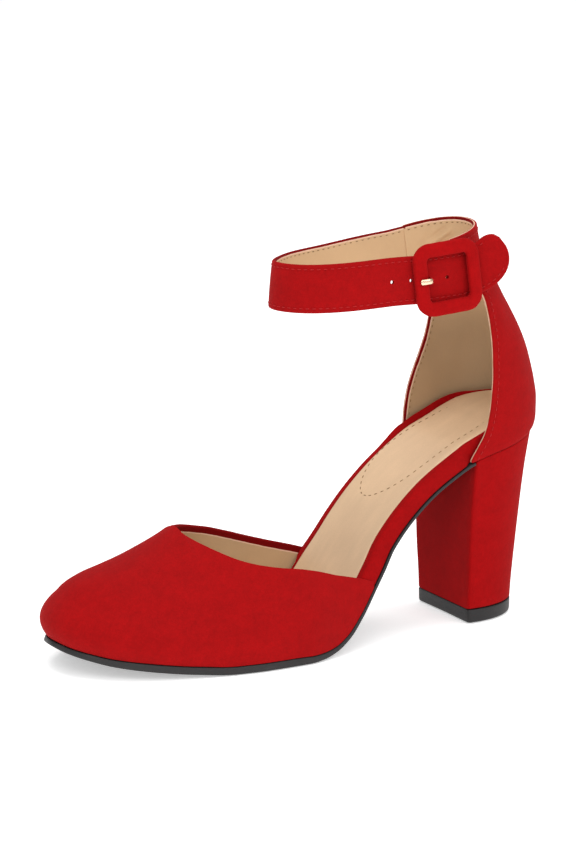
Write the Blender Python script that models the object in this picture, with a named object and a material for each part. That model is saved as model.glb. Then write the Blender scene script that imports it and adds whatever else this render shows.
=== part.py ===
"""Ankle strap pump, left foot: high block heel, closed round toe, closed back, open waist.

Lengths in the tables are millimetres. X runs from the toe to the heel, -Y is the outer
(buckle) side and Z is up, with the sole resting on z = 0.
"""
import math

import bpy
import numpy as np
from mathutils import Matrix, Vector

MM = 0.001

# driving sizes, millimetres
GAP = 0.3
SOCK = 1.2
WALL = 1.8
TIP_HEIGHT = 5.7
BREAST_X = 178.7
STRAP_WIDTH = 19.4
STRAP_THICK = 1.9
HOLE_RADIUS = 1.25
FRAME_WIDE = 30.2
FRAME_HIGH = 29.4
FRAME_BAR = 5.8
FRAME_THICK = 3.3
FRAME_CENTRE = (160.6, -33.0, 149.1)
FRAME_TURN = 4.5
FRAME_LEAN = 0.085

# bar behind the strap, from the middle of the frame: along the strap, outwards, half height
BAR_AT = 1.7
BAR_OUT = -6.8
BAR_HIGH = 11.9
BAR_RADIUS = 0.9
PRONG_STEM = 0.8
PRONG_TIP = 1.1
LOOP_IN = 1.2
LOOP_OUT = 2.2


def columns(names, *rows):
    """Table with named columns, one row per section."""
    data = np.array(rows, float)
    return {name: data[:, k] for k, name in enumerate(names.split())}


# sole outline (half widths each side of the centre line) and height of its underside
SOLE = columns(
    "x lateral medial bottom",
    (-1.8, 0.0, 0.0, 10.7),
    (1.4, 11.2, 12.2, 9.2),
    (6.8, 18.3, 19.4, 7.5),
    (15.5, 25.4, 26.4, 5.3),
    (30.0, 33.0, 33.1, 3.1),
    (45.0, 37.5, 36.0, 1.3),
    (62.0, 40.9, 37.2, 0.0),
    (75.0, 42.1, 36.6, 0.0),
    (94.0, 41.5, 33.2, 0.0),
    (100.0, 40.3, 31.8, 0.4),
    (107.0, 38.2, 30.0, 1.9),
    (115.0, 35.6, 27.7, 6.2),
    (122.0, 33.2, 25.8, 13.2),
    (130.0, 30.6, 24.4, 24.0),
    (135.0, 29.0, 23.4, 30.9),
    (140.0, 27.1, 22.8, 38.0),
    (150.0, 26.2, 23.2, 49.1),
    (160.0, 25.9, 24.1, 57.6),
    (170.0, 26.3, 25.2, 64.2),
    (177.0, 26.6, 25.7, 68.1),
    (188.0, 26.6, 25.9, 71.5),
    (196.0, 25.5, 24.9, 73.4),
    (203.0, 22.7, 22.1, 75.0),
    (209.0, 18.2, 17.7, 76.4),
    (213.0, 13.2, 12.9, 77.3),
    (215.6, 7.6, 7.4, 77.9),
    (216.8, 0.0, 0.0, 78.2),
)
SOLE_START = -1.8
SOLE_END = 216.8

# thickness of the outsole, height of the footbed over the underside of the outsole,
# and how far the board and the sock stand inside the outline
LAYERS = columns(
    "x sole bed board_in sock_in",
    (-1.8, 2.2, 6.8, 2.8, 3.8),
    (8.0, 2.6, 7.1, 2.8, 3.8),
    (30.0, 3.1, 7.6, 2.7, 3.6),
    (85.0, 3.1, 7.6, 2.7, 3.6),
    (99.0, 2.6, 7.6, 2.7, 3.7),
    (113.0, 1.7, 7.6, 2.8, 4.3),
    (123.0, 1.3, 8.1, 2.9, 4.9),
    (131.4, 1.2, 8.6, 2.9, 4.9),
    (133.8, 1.2, 8.7, 0.4, 4.8),
    (150.0, 1.2, 8.7, 0.4, 4.3),
    (168.0, 1.2, 8.7, 0.4, 4.2),
    (171.0, 1.2, 8.8, 2.6, 4.4),
    (180.0, 1.2, 9.6, 2.6, 4.7),
    (187.0, 1.2, 10.6, 2.6, 4.6),
    (194.0, 1.2, 12.0, 2.6, 4.1),
    (203.0, 1.2, 13.6, 2.6, 3.6),
    (216.8, 1.2, 14.6, 2.6, 3.6),
)

# vamp: height of the ridge line above the sole edge, from the toe tip to the throat
RIDGE = columns(
    "x rise",
    (-1.8, 0.0),
    (0.0, 12.0),
    (3.0, 18.8),
    (8.0, 24.2),
    (16.0, 28.7),
    (27.0, 32.9),
    (40.0, 39.2),
    (54.0, 48.2),
)
# roundness of the vamp sections: 2 is an ellipse, less is more like a roof
ROUND = columns(
    "x power",
    (-1.8, 2.3),
    (20.0, 2.2),
    (38.0, 2.0),
    (54.0, 1.8),
    (70.0, 1.95),
    (95.0, 2.2),
    (130.0, 2.3),
)
THROAT_X = 54.0
TAIL_X = 129.6

# collar edge of the vamp from the throat to the waist
COLLAR = columns(
    "x lateral_y lateral_z medial_y medial_z",
    (54.0, 0.0, 51.4, 0.0, 51.4),
    (54.8, 4.0, 50.2, 4.0, 50.3),
    (56.2, 9.4, 48.8, 9.2, 49.4),
    (58.2, 14.2, 47.5, 13.8, 48.5),
    (63.0, 22.3, 45.0, 21.5, 46.7),
    (69.0, 28.0, 42.4, 26.2, 45.3),
    (76.0, 32.1, 40.4, 28.8, 43.5),
    (85.0, 35.1, 38.7, 30.4, 41.1),
    (92.0, 35.8, 37.6, 30.2, 38.9),
    (101.0, 35.0, 35.4, 28.7, 36.2),
    (111.0, 33.3, 32.2, 26.9, 33.4),
    (119.0, 31.9, 30.0, 25.7, 31.2),
    (124.0, 31.2, 28.5, 25.2, 29.6),
    (129.6, 30.0, 26.6, 24.1, 27.8),
)
NOSE_OUT = 3.0
NOSE_HIGH = 19.0

# quarter: one row per level, from the edge on the seat to the top of the band
QUARTER = columns(
    "lateral_x lateral_z medial_x medial_z back_x back_z lateral_w medial_w centre_x",
    (176.5, 69.9, 172.9, 67.7, 216.8, 79.9, 26.6, 25.9, 188.0),
    (177.6, 72.6, 173.3, 70.5, 218.2, 82.0, 27.2, 26.4, 188.0),
    (179.6, 76.2, 173.9, 75.2, 218.8, 86.0, 27.6, 26.8, 188.0),
    (182.7, 82.2, 174.6, 83.0, 218.8, 92.5, 27.9, 27.0, 188.0),
    (184.6, 90.0, 175.9, 90.5, 217.7, 99.5, 27.9, 27.0, 187.3),
    (185.6, 98.0, 178.2, 98.0, 216.0, 106.5, 27.8, 26.9, 186.2),
    (186.1, 106.5, 181.4, 106.0, 213.8, 113.8, 27.6, 26.8, 184.7),
    (186.1, 116.0, 184.5, 115.0, 210.4, 121.6, 27.4, 26.6, 182.0),
    (185.7, 125.0, 185.8, 123.5, 206.0, 129.5, 27.2, 26.4, 178.5),
    (184.9, 132.5, 185.2, 131.0, 201.9, 136.5, 27.0, 26.2, 174.8),
    (183.4, 138.5, 182.6, 137.4, 198.7, 142.5, 26.8, 26.0, 171.5),
    (180.2, 142.2, 178.6, 140.4, 196.0, 147.5, 26.6, 25.8, 168.5),
    (173.5, 143.4, 175.2, 142.1, 194.4, 151.5, 26.5, 25.7, 166.0),
    (167.0, 144.8, 174.7, 145.0, 192.7, 155.3, 26.4, 25.6, 164.2),
    (165.0, 150.0, 173.8, 150.4, 191.1, 159.2, 26.3, 25.5, 162.8),
    (165.0, 156.5, 172.9, 156.2, 190.0, 163.2, 26.2, 25.4, 162.3),
    (166.0, 162.6, 172.0, 161.5, 189.3, 166.6, 26.2, 25.4, 162.0),
)
QUARTER_POWER = 2.0

# heel block: one row per level, share of the height and plan of the D section
HEEL = columns(
    "share centre_x back_x lateral_w medial_w",
    (0.00, 182.3, 208.4, 20.8, 21.3),
    (0.10, 182.5, 208.9, 21.1, 21.8),
    (0.35, 183.5, 210.7, 21.9, 23.6),
    (0.60, 185.0, 212.7, 22.8, 24.4),
    (0.79, 186.5, 214.2, 24.2, 25.1),
    (1.00, 188.0, 216.4, 26.4, 25.7),
)
HEEL_POWER = 2.0

# ankle strap: centre line from the seam, round the front of the ankle, to the free end
STRAP = columns(
    "x y z",
    (171.8, 22.9, 151.7),
    (166.5, 24.8, 150.5),
    (158.0, 26.2, 149.4),
    (146.0, 26.9, 147.8),
    (132.0, 25.3, 146.4),
    (118.0, 20.8, 145.8),
    (106.6, 13.0, 145.4),
    (100.2, 2.0, 145.6),
    (102.8, -9.5, 145.8),
    (111.6, -18.7, 146.3),
    (125.0, -25.3, 147.4),
    (137.0, -28.4, 148.4),
    (147.0, -29.4, 148.5),
    (155.0, -29.7, 148.5),
    (163.0, -29.7, 148.8),
    (170.6, -29.3, 149.4),
    (177.2, -29.9, 151.5),
    (182.7, -31.4, 155.0),
    (188.0, -32.9, 160.2),
)
STRAP_HOLES = (137.0, 145.1, 153.2, 161.3)
STRAP_LEAN = 0.085
# free end: lengths over which the upper and the lower edge turn in, and how far
# above the centre line they meet
TAIL_UPPER = 7.0
TAIL_LOWER = 17.0
TAIL_MEET = 4.5


def smooth(xs, ys, x):
    """Monotone cubic curve through (xs, ys) at x."""
    xs = np.asarray(xs, float)
    ys = np.asarray(ys, float)
    x = np.clip(np.asarray(x, float), xs[0], xs[-1])
    h = np.diff(xs)
    d = np.diff(ys) / h
    m = np.zeros_like(ys)
    m[0] = d[0]
    m[-1] = d[-1]
    w1 = 2 * h[1:] + h[:-1]
    w2 = h[1:] + 2 * h[:-1]
    same = d[1:] * d[:-1] > 0
    da = np.where(same, d[:-1], 1.0)
    db = np.where(same, d[1:], 1.0)
    m[1:-1] = np.where(same, (w1 + w2) / (w1 / da + w2 / db), 0.0)
    k = np.clip(np.searchsorted(xs, x, side="right") - 1, 0, len(h) - 1)
    t = (x - xs[k]) / h[k]
    a = 2 * t ** 3 - 3 * t ** 2 + 1
    b = t ** 3 - 2 * t ** 2 + t
    c = -2 * t ** 3 + 3 * t ** 2
    e = t ** 3 - t ** 2
    return a * ys[k] + b * h[k] * m[k] + c * ys[k + 1] + e * h[k] * m[k + 1]


def spline(points, count):
    """Natural cubic curve through the points, resampled to count points of even length."""
    p = np.asarray(points, float)
    step = np.linalg.norm(np.diff(p, axis=0), axis=1) ** 0.5
    t = np.concatenate([[0.0], np.cumsum(step)])
    n = len(t)
    h = np.diff(t)
    a = np.eye(n)
    r = np.zeros_like(p)
    for i in range(1, n - 1):
        a[i, i - 1] = h[i - 1]
        a[i, i] = 2 * (h[i - 1] + h[i])
        a[i, i + 1] = h[i]
        r[i] = 6 * ((p[i + 1] - p[i]) / h[i] - (p[i] - p[i - 1]) / h[i - 1])
    s = np.linalg.solve(a, r)
    u = np.linspace(0, t[-1], 40 * n)
    k = np.clip(np.searchsorted(t, u, side="right") - 1, 0, n - 2)
    l = (t[k + 1] - u)[:, None]
    g = (u - t[k])[:, None]
    hk = h[k][:, None]
    q = s[k] * l ** 3 / (6 * hk) + s[k + 1] * g ** 3 / (6 * hk)
    q += (p[k] / hk - s[k] * hk / 6) * l + (p[k + 1] / hk - s[k + 1] * hk / 6) * g
    return even(q, count)


def even(line, count):
    """Points of even length along a fine polyline."""
    step = np.linalg.norm(np.diff(line, axis=0), axis=1)
    s = np.concatenate([[0.0], np.cumsum(step)])
    u = np.linspace(0, s[-1], count)
    return np.stack([np.interp(u, s, line[:, k]) for k in range(line.shape[1])], -1)


def table(data, name, x):
    return smooth(data["x"], data[name], x)


def half(side, x):
    """Half width of the sole outline; its square is interpolated, so the ends are round."""
    name = "lateral" if side < 0 else "medial"
    return np.sqrt(np.maximum(smooth(SOLE["x"], SOLE[name] ** 2, x), 0.0))


def edge(side, x, inset):
    """Plan point of the outline at station x, moved inwards along its normal."""
    x = np.asarray(x, float)
    name = "lateral" if side < 0 else "medial"
    sq = SOLE[name] ** 2
    low = smooth(SOLE["x"], sq, x - 0.02)
    high = smooth(SOLE["x"], sq, x + 0.02)
    span = np.clip(x + 0.02, SOLE_START, SOLE_END) - np.clip(x - 0.02, SOLE_START, SOLE_END)
    g = (high - low) / span / 2
    w = half(side, x)
    size = np.maximum(np.hypot(g, w), 1e-9)
    return x + inset * g / size, side * (w - inset * w / size)


def layer(x, d):
    """Point at distance d above the sole underside, square to its profile."""
    z = table(SOLE, "bottom", x)
    slope = (table(SOLE, "bottom", x + 0.4) - table(SOLE, "bottom", x - 0.4)) / 0.8
    size = np.sqrt(1 + slope ** 2)
    return x - slope / size * d, z + d / size


def seat_height(x):
    """Lowest height of the quarter, one gap above the top of the outsole."""
    return layer(x, table(LAYERS, "sole", x) + GAP + 0.1)[1]


def sole_stations():
    """Stations along the sole, closer together at the round ends and up the shank."""
    turn = np.linspace(0, math.pi / 2, 10, endpoint=False)
    back = np.linspace(math.pi / 2, 0, 9)
    return np.concatenate([
        SOLE_START + (30.0 - SOLE_START) * (1 - np.cos(turn)),
        np.linspace(30.0, 94.0, 8),
        np.linspace(101.0, 131.4, 7),
        np.linspace(133.8, 168.2, 6),
        np.linspace(171.2, 184.0, 3),
        SOLE_END - (SOLE_END - 190.0) * (1 - np.cos(back)),
    ])


OBJECTS = []


def material(name, colour, roughness, metallic=0.0):
    """Plain surface for one piece."""
    mat = bpy.data.materials.new(name)
    mat.use_nodes = True
    surface = mat.node_tree.nodes["Principled BSDF"]
    surface.inputs["Base Color"].default_value = (*colour, 1.0)
    surface.inputs["Roughness"].default_value = roughness
    surface.inputs["Metallic"].default_value = metallic
    mat.diffuse_color = (*colour, 1.0)
    return mat


def weld(points, faces, keep=None):
    """Join points at one place and drop the faces that vanish."""
    key = np.round(points, 4)
    _, first, index = np.unique(key, axis=0, return_index=True, return_inverse=True)
    index = index.ravel()
    out = []
    for face in faces:
        ring = []
        for v in face:
            w = int(index[v])
            if w not in ring:
                ring.append(w)
        if len(ring) > 2:
            out.append(ring)
    if keep is None:
        return points[first], out
    flag = np.zeros(len(first), bool)
    np.logical_or.at(flag, index, keep)
    return points[first], out, flag


def grid_faces(rows, cols, start=0, around=False):
    """Four-sided faces of a grid of rows by cols points."""
    out = []
    last = cols if around else cols - 1
    for i in range(rows - 1):
        for j in range(last):
            k = (j + 1) % cols
            a = start + i * cols
            b = start + (i + 1) * cols
            out.append((a + j, a + k, b + k, b + j))
    return out


def volume(points, faces):
    total = 0.0
    for f in faces:
        for k in range(1, len(f) - 1):
            total += np.dot(points[f[0]], np.cross(points[f[k]], points[f[k + 1]]))
    return total


def body(name, points, faces, mat, angle=40):
    """Mesh object with outward faces."""
    points, faces = weld(np.asarray(points, float), faces)
    if volume(points, faces) < 0:
        faces = [f[::-1] for f in faces]
    mesh = bpy.data.meshes.new(name)
    mesh.from_pydata((points * MM).tolist(), [], [list(f) for f in faces])
    mesh.update()
    mesh.shade_smooth()
    mesh.set_sharp_from_angle(angle=math.radians(angle))
    mesh.materials.append(mat)
    obj = bpy.data.objects.new(name, mesh)
    bpy.context.scene.collection.objects.link(obj)
    OBJECTS.append(obj)
    return obj


def rings(name, loops, mat, angle=40, caps=(False, False)):
    """Body lofted through closed loops with the same number of points."""
    loops = np.asarray(loops, float)
    n, m, _ = loops.shape
    points = loops.reshape(-1, 3)
    faces = grid_faces(n, m, 0, True)
    if caps[0]:
        faces.append(tuple(range(m))[::-1])
    if caps[1]:
        faces.append(tuple(range((n - 1) * m, n * m)))
    return body(name, points, faces, mat, angle)


def vertex_normals(points, faces):
    out = np.zeros_like(points)
    for f in faces:
        n = np.zeros(3)
        for k in range(1, len(f) - 1):
            n += np.cross(points[f[k]] - points[f[0]], points[f[k + 1]] - points[f[0]])
        for v in f:
            out[v] += n
    size = np.linalg.norm(out, axis=1, keepdims=True)
    return out / np.maximum(size, 1e-12)


def thicken(name, points, faces, level, wall, rim, mat, angle=40):
    """Closed wall from an open surface: inner skin one wall inside, rounded free edges.

    level marks the points of the lower edge, which move inwards without leaving their height.
    """
    points, faces, level = weld(np.asarray(points, float), faces, level)
    normal = vertex_normals(points, faces)
    flat = normal.copy()
    flat[:, 2] = 0
    flat /= np.maximum(np.linalg.norm(flat, axis=1, keepdims=True), 1e-12)
    normal[level] = flat[level]
    inner = points - wall * normal
    n = len(points)
    out = [tuple(f) for f in faces]
    out += [tuple(n + v for v in f[::-1]) for f in faces]
    count = {}
    for f in faces:
        for a, b in zip(f, list(f[1:]) + [f[0]]):
            count[(a, b)] = 1
    free = [e for e in count if (e[1], e[0]) not in count]
    push = np.zeros_like(points)
    for a, b in free:
        t = points[b] - points[a]
        for v in (a, b):
            push[v] += np.cross(t, normal[v])
    used = sorted({v for e in free for v in e})
    place = {v: 2 * n + k for k, v in enumerate(used)}
    middle = []
    for v in used:
        d = push[v] / max(np.linalg.norm(push[v]), 1e-12)
        r = 0.0 if level[v] else rim
        middle.append((points[v] + inner[v]) / 2 + r * d)
    for a, b in free:
        out.append((b, a, place[a], place[b]))
        out.append((place[b], place[a], n + a, n + b))
    return body(name, np.concatenate([points, inner, np.array(middle)]), out, mat, angle)


def slab(name, profile, mat, cup=0.0, end=None):
    """Sheet on the sole profile.

    profile gives, at the stations, the inset and height of each corner of half a section,
    from the underside round the edge to the top; cup lowers the middle of the top.
    """
    x = sole_stations()
    if end is not None:
        x = np.append(x[x < end - 1.0], end)
    corners = profile(x)
    sides = []
    for side in (-1, 1):
        part = []
        for inset, d in corners:
            px, py = edge(side, x, inset)
            qx, qz = layer(px, d)
            part.append(np.stack([qx, py, qz], -1))
        inset, d = corners[-1]
        px, py = edge(side, x, inset)
        qx, qz = layer(px, d - cup * 0.75)
        part.append(np.stack([qx, py * 0.5, qz], -1))
        sides.append(part)
    inset, d = corners[-1]
    px = (edge(-1, x, inset)[0] + edge(1, x, inset)[0]) / 2
    qx, qz = layer(px, d - cup)
    mid_y = (sides[0][-1][:, 1] + sides[1][-1][:, 1]) / 2
    middle = np.stack([qx, mid_y, qz], -1)
    loops = np.stack(sides[0] + [middle] + sides[1][::-1], 1)
    return rings(name, loops, mat, 35, (False, end is not None))


def plan_row(x_start, back_x, centre_x, width, power, count, side):
    """Half of a U in plan from the back middle forward to x_start, evenly spaced."""
    t = np.linspace(0, 1, 240)
    a = back_x - centre_x
    ang = t * math.pi / 2
    x = centre_x + a * np.cos(ang) ** (2 / power)
    y = width * np.sin(ang) ** (2 / power)
    if x_start < centre_x:
        x = np.append(x, x_start)
        y = np.append(y, width)
    else:
        keep = x > x_start
        y_end = width * (1 - ((x_start - centre_x) / a) ** power) ** (1 / power)
        x = np.append(x[keep], x_start)
        y = np.append(y[keep], y_end)
    return even(np.stack([x, side * y], -1), count)


def quarter_grid(rows, cols):
    """Rows up the back part; each row runs from the lateral front round the heel."""
    base = np.arange(len(QUARTER["back_x"]), dtype=float)
    level = np.linspace(0, base[-1], rows)
    t = {name: smooth(base, QUARTER[name], level) for name in QUARTER}
    out = np.zeros((rows, 2 * cols - 1, 3))
    for i in range(rows):
        parts = []
        for side, name in ((-1, "lateral"), (1, "medial")):
            start = t[name + "_x"][i]
            p = plan_row(start, t["back_x"][i], t["centre_x"][i], t[name + "_w"][i],
                         QUARTER_POWER, cols, side)
            u = (t["back_x"][i] - p[:, 0]) / (t["back_x"][i] - start)
            z = t["back_z"][i] + (t[name + "_z"][i] - t["back_z"][i]) * u
            z = np.maximum(z, seat_height(p[:, 0]) + 0.4 * i)
            parts.append(np.column_stack([p, z]))
        out[i, :cols] = parts[0][::-1]
        out[i, cols:] = parts[1][1:]
    return out


def vamp_half(side, stations, around):
    """Section curves of one half of the vamp, from the sole edge to the ridge or the collar."""
    name = "lateral" if side < 0 else "medial"
    sole = table(LAYERS, "sole", stations) + GAP
    px, py = edge(side, stations, 0.25)
    fx, fz = layer(px, sole)
    rise = table(RIDGE, "rise", stations)
    sq = smooth(RIDGE["x"], RIDGE["rise"] ** 2, stations)
    rise = np.where(stations < 16, np.sqrt(np.maximum(sq, 0)), rise)
    out = np.zeros((len(stations), around, 3))
    s = np.linspace(0, 1, around)
    bend = table(ROUND, "power", stations)
    for i, x in enumerate(stations):
        w = abs(py[i])
        power = bend[i]
        if x <= THROAT_X:
            top = math.pi / 2
            high = rise[i]
        else:
            cy = float(table(COLLAR, name + "_y", x))
            cz = float(table(COLLAR, name + "_z", x))
            top = math.acos(min(1.0, (cy / w) ** (power / 2)))
            top = max(top, 0.12)
            high = max(cz - fz[i], 0.4) / math.sin(top) ** (2 / power)
        ang = s * top
        y = w * np.cos(ang) ** (2 / power)
        if x > THROAT_X:
            y = w + (y - w) * (w - cy) / max(w - y[-1], 1e-9)
        z = high * np.sin(ang) ** (2 / power)
        line = even(np.stack([y, z], -1), around)
        out[i, :, 0] = fx[i]
        out[i, :, 1] = side * line[:, 0]
        out[i, :, 2] = fz[i] + line[:, 1]
    # nose and side walls stand out over the sole edge
    rel = np.clip((out[..., 2] - fz[:, None]) / NOSE_HIGH, 0, 1)
    fade = 1 - smooth([-2, 12, 60, 100, 130], [0, 0, 0.72, 0.85, 1.0], stations)[:, None]
    push = NOSE_OUT * np.sin(math.pi * rel ** 0.85) * fade
    cx = 46.0
    dx = np.minimum(out[..., 0] - cx, 0) / cx ** 2
    dy = out[..., 1] / 38.0 ** 2
    size = np.maximum(np.hypot(dx, dy), 1e-9)
    out[..., 0] += push * dx / size
    out[..., 1] += push * dy / size
    return out


def frame_axes():
    """Axes of the buckle: along the strap, outwards, up."""
    a = math.radians(FRAME_TURN)
    along = np.array([math.cos(a), 0.0, math.sin(a)])
    up = np.array([-math.sin(a), FRAME_LEAN, math.cos(a)])
    up /= np.linalg.norm(up)
    return along, np.cross(along, up), up


def at_frame(a, out, up):
    """World point from buckle coordinates."""
    x, y, z = frame_axes()
    bend = -0.0035 * np.asarray(a, float) ** 2
    p = np.multiply.outer(np.asarray(a, float), x)
    p = p + np.multiply.outer(np.asarray(out, float) + bend, y)
    p = p + np.multiply.outer(np.asarray(up, float), z)
    return p + np.array(FRAME_CENTRE)


def build_sole():
    black = material("outsole_black", (0.035, 0.033, 0.034), 0.55)
    tip = material("heel_tip_black", (0.03, 0.03, 0.032), 0.5)
    red = material("board_red", (0.36, 0.012, 0.012), 0.85)
    beige = material("sock_beige", (0.56, 0.36, 0.22), 0.5)
    suede = material("heel_red", (0.38, 0.012, 0.013), 0.9)

    def sole_top(x):
        return table(LAYERS, "sole", x)

    def outsole_section(x):
        top = sole_top(x)
        c = 0.3
        return [(0 * x + c, 0 * x), (0 * x, 0 * x + c), (0 * x, top - c), (0 * x + c, top)]

    def board_section(x):
        low = sole_top(x) + GAP
        high = table(LAYERS, "bed", x)
        inset = table(LAYERS, "board_in", x)
        rim = table(LAYERS, "sock_in", x) - GAP - inset
        c = np.minimum(1.1, rim * 0.45)
        floor = high - SOCK - GAP
        return [(inset + 0.4, low), (inset, low + 0.4), (inset, high - c),
                (inset + 0.3 * c, high - 0.3 * c), (inset + c, high),
                (inset + rim, high - 0.1), (inset + rim, floor)]

    def sock_section(x):
        high = table(LAYERS, "bed", x)
        inset = table(LAYERS, "sock_in", x)
        c = 0.3
        return [(inset, high - SOCK), (inset, high - c), (inset + c, high)]

    slab("outsole", outsole_section, black, 0.0, BREAST_X - GAP)
    slab("insole_board", board_section, red, 0.8)
    slab("insole", sock_section, beige, 0.8)

    # heel block, D section with a flat breast
    loops = []
    for f in (0.0, 0.012, 0.12, 0.3, 0.5, 0.68, 0.84, 0.94, 1.0):
        t = {name: float(smooth(HEEL["share"], HEEL[name], f)) for name in HEEL}
        grow = -0.25 if f == 0 else 0.0
        loop = []
        for side, name in ((-1, "lateral"), (1, "medial")):
            p = plan_row(BREAST_X + 0.3, t["back_x"] + grow, t["centre_x"],
                         t[name + "_w"] + grow, HEEL_POWER, 17, side)
            loop.append(p[::-1] if side < 0 else p[1:])
        plan = np.concatenate(loop)
        corner = [plan[-1, 1] - 0.5, 0.0, plan[0, 1] + 0.5]
        breast = np.column_stack([np.full(3, BREAST_X), corner])
        plan = np.concatenate([plan, breast])
        top = layer(plan[:, 0], table(LAYERS, "sole", plan[:, 0]))[1]
        z = TIP_HEIGHT + GAP + f * (top - TIP_HEIGHT - GAP)
        loops.append(np.column_stack([plan, z]))
    rings("heel", loops, suede, 50, (True, True))
    foot = loops[0]
    loops = []
    for z, grow in ((0.0, -0.7), (0.5, -0.3), (TIP_HEIGHT - 0.3, 0.0), (TIP_HEIGHT, -0.2)):
        mid = np.array([193.0, 0.0])
        d = foot[:, :2] - mid
        size = np.linalg.norm(d, axis=1, keepdims=True)
        p = mid + d * (1 + grow / size)
        loops.append(np.column_stack([p, np.full(len(p), z)]))
    rings("heel_tip", loops, tip, 35, (True, True))


def build_vamp():
    red = material("vamp_red", (0.38, 0.012, 0.013), 0.9)
    quarter_turn = np.linspace(0, math.pi / 2, 9, endpoint=False)
    a = SOLE_START + (26.0 - SOLE_START) * (1 - np.cos(quarter_turn))
    b = np.linspace(26.0, THROAT_X, 5, endpoint=False)
    c = THROAT_X + (TAIL_X - THROAT_X) * np.linspace(0, 1, 15) ** 1.35
    stations = np.concatenate([a, b, c])
    around = 10
    halves = np.stack([vamp_half(side, stations, around) for side in (-1, 1)])
    closed = stations <= THROAT_X
    ridge = halves[:, closed, -1].mean(axis=0)
    ridge[:, 1] = 0.0
    halves[:, closed, -1] = ridge
    points = halves.reshape(-1, 3)
    count = len(stations) * around
    faces = [q[::-1] for q in grid_faces(len(stations), around)]
    faces += grid_faces(len(stations), around, count)
    mark = np.zeros(halves.shape[:3], bool)
    mark[:, :, 0] = True
    faces = orient(points, faces)
    thicken("vamp", points, faces, mark.ravel(), WALL, 0.35, red, 45)


def orient(points, faces):
    """Turn the faces of an open surface so that they look away from its middle."""
    mid = points.mean(axis=0)
    total = 0.0
    for f in faces:
        n = np.cross(points[f[1]] - points[f[0]], points[f[2]] - points[f[0]])
        total += np.dot(n, points[f[0]] - mid)
    return faces if total > 0 else [f[::-1] for f in faces]


def build_quarter():
    red = material("quarter_red", (0.38, 0.012, 0.013), 0.9)
    g = quarter_grid(23, 14)
    rows, cols, _ = g.shape
    faces = orient(g.reshape(-1, 3), grid_faces(rows, cols))
    mark = np.zeros((rows, cols), bool)
    mark[0] = True
    thicken("quarter", g.reshape(-1, 3), faces, mark.ravel(), WALL, 0.35, red, 45)


def strap_frame(count):
    """Centre line of the strap with its width and outward directions."""
    path = spline(np.column_stack([STRAP["x"], STRAP["y"], STRAP["z"]]), count)
    tangent = np.gradient(path, axis=0)
    tangent /= np.linalg.norm(tangent, axis=1, keepdims=True)
    flat = np.column_stack([-tangent[:, 1], tangent[:, 0], 0 * tangent[:, 0]])
    flat /= -np.linalg.norm(flat, axis=1, keepdims=True)
    up = np.array([0, 0, 1.0]) - STRAP_LEAN * flat
    up -= tangent * np.sum(up * tangent, axis=1, keepdims=True)
    up /= np.linalg.norm(up, axis=1, keepdims=True)
    out = np.cross(tangent, up)
    return path, up, out


def round_end(s, length):
    """Share of the half width left near the end of a run s, over the last length."""
    near = np.clip((s - (s[-1] - length)) / length, 0, 1)
    return (1 - near ** 2.15) ** (1 / 2.15)


def build_strap():
    red = material("strap_red", (0.38, 0.012, 0.013), 0.9)
    path, up, out = strap_frame(56)
    step = np.linalg.norm(np.diff(path, axis=0), axis=1)
    s = np.concatenate([[0], np.cumsum(step)])
    base = s[s < s[-1] - TAIL_LOWER]
    tail = s[-1] - TAIL_LOWER * np.cos(np.linspace(0, math.pi / 2, 12))
    s_new = np.concatenate([base, tail])
    path, up, out = [np.stack([np.interp(s_new, s, v[:, k]) for k in range(3)], -1)
                     for v in (path, up, out)]
    upper = TAIL_MEET + (STRAP_WIDTH / 2 - TAIL_MEET) * round_end(s_new, TAIL_UPPER)
    lower = TAIL_MEET - (STRAP_WIDTH / 2 + TAIL_MEET) * round_end(s_new, TAIL_LOWER)
    t = STRAP_THICK / 2
    loops = []
    for p, u, o, high, low in zip(path, up, out, upper, lower):
        c = min(0.5, (high - low) / 2)
        shape = ((high, 0.5 - t), (high, t - 0.5), (high - c, t), (low + c, t),
                 (low, t - 0.5), (low, 0.5 - t), (low + c, -t), (high - c, -t))
        loops.append([p + a * u + b * o for a, b in shape])
    strap = rings("ankle_strap", loops, red, 45, (True, False))
    line, _, outs = strap_frame(1600)
    for k, x in enumerate(STRAP_HOLES):
        near = np.argmin(np.abs(line[:, 0] - x) + 200 * (line[:, 1] > -15))
        punch(strap, "punch_%d" % k, line[near], outs[near])


def punch(target, name, centre, axis):
    """Round hole right through a piece."""
    turn = Vector(axis).to_track_quat("Z", "Y").to_matrix().to_4x4()
    ring = []
    for k in range(16):
        a = 2 * math.pi * k / 16
        ring.append((HOLE_RADIUS * math.cos(a), HOLE_RADIUS * math.sin(a)))
    points = [(*p, -4.0) for p in ring] + [(*p, 4.0) for p in ring]
    faces = [(k, (k + 1) % 16, 16 + (k + 1) % 16, 16 + k) for k in range(16)]
    faces += [tuple(range(15, -1, -1)), tuple(range(16, 32))]
    cut(target, name, Matrix.Translation(Vector(centre)) @ turn, points, faces)


def cut(target, name, place, points, faces):
    """Take a closed shape away from a piece."""
    mesh = bpy.data.meshes.new(name)
    mesh.from_pydata([tuple((place @ Vector(p)) * MM) for p in points], [], faces)
    tool = bpy.data.objects.new(name, mesh)
    bpy.context.scene.collection.objects.link(tool)
    mod = target.modifiers.new(name, "BOOLEAN")
    mod.operation = "DIFFERENCE"
    mod.solver = "EXACT"
    mod.object = tool
    bpy.context.view_layer.update()
    graph = bpy.context.evaluated_depsgraph_get()
    done = bpy.data.meshes.new_from_object(target.evaluated_get(graph))
    target.modifiers.remove(mod)
    old = target.data
    target.data = done
    bpy.data.meshes.remove(old)
    bpy.data.objects.remove(tool)


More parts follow.
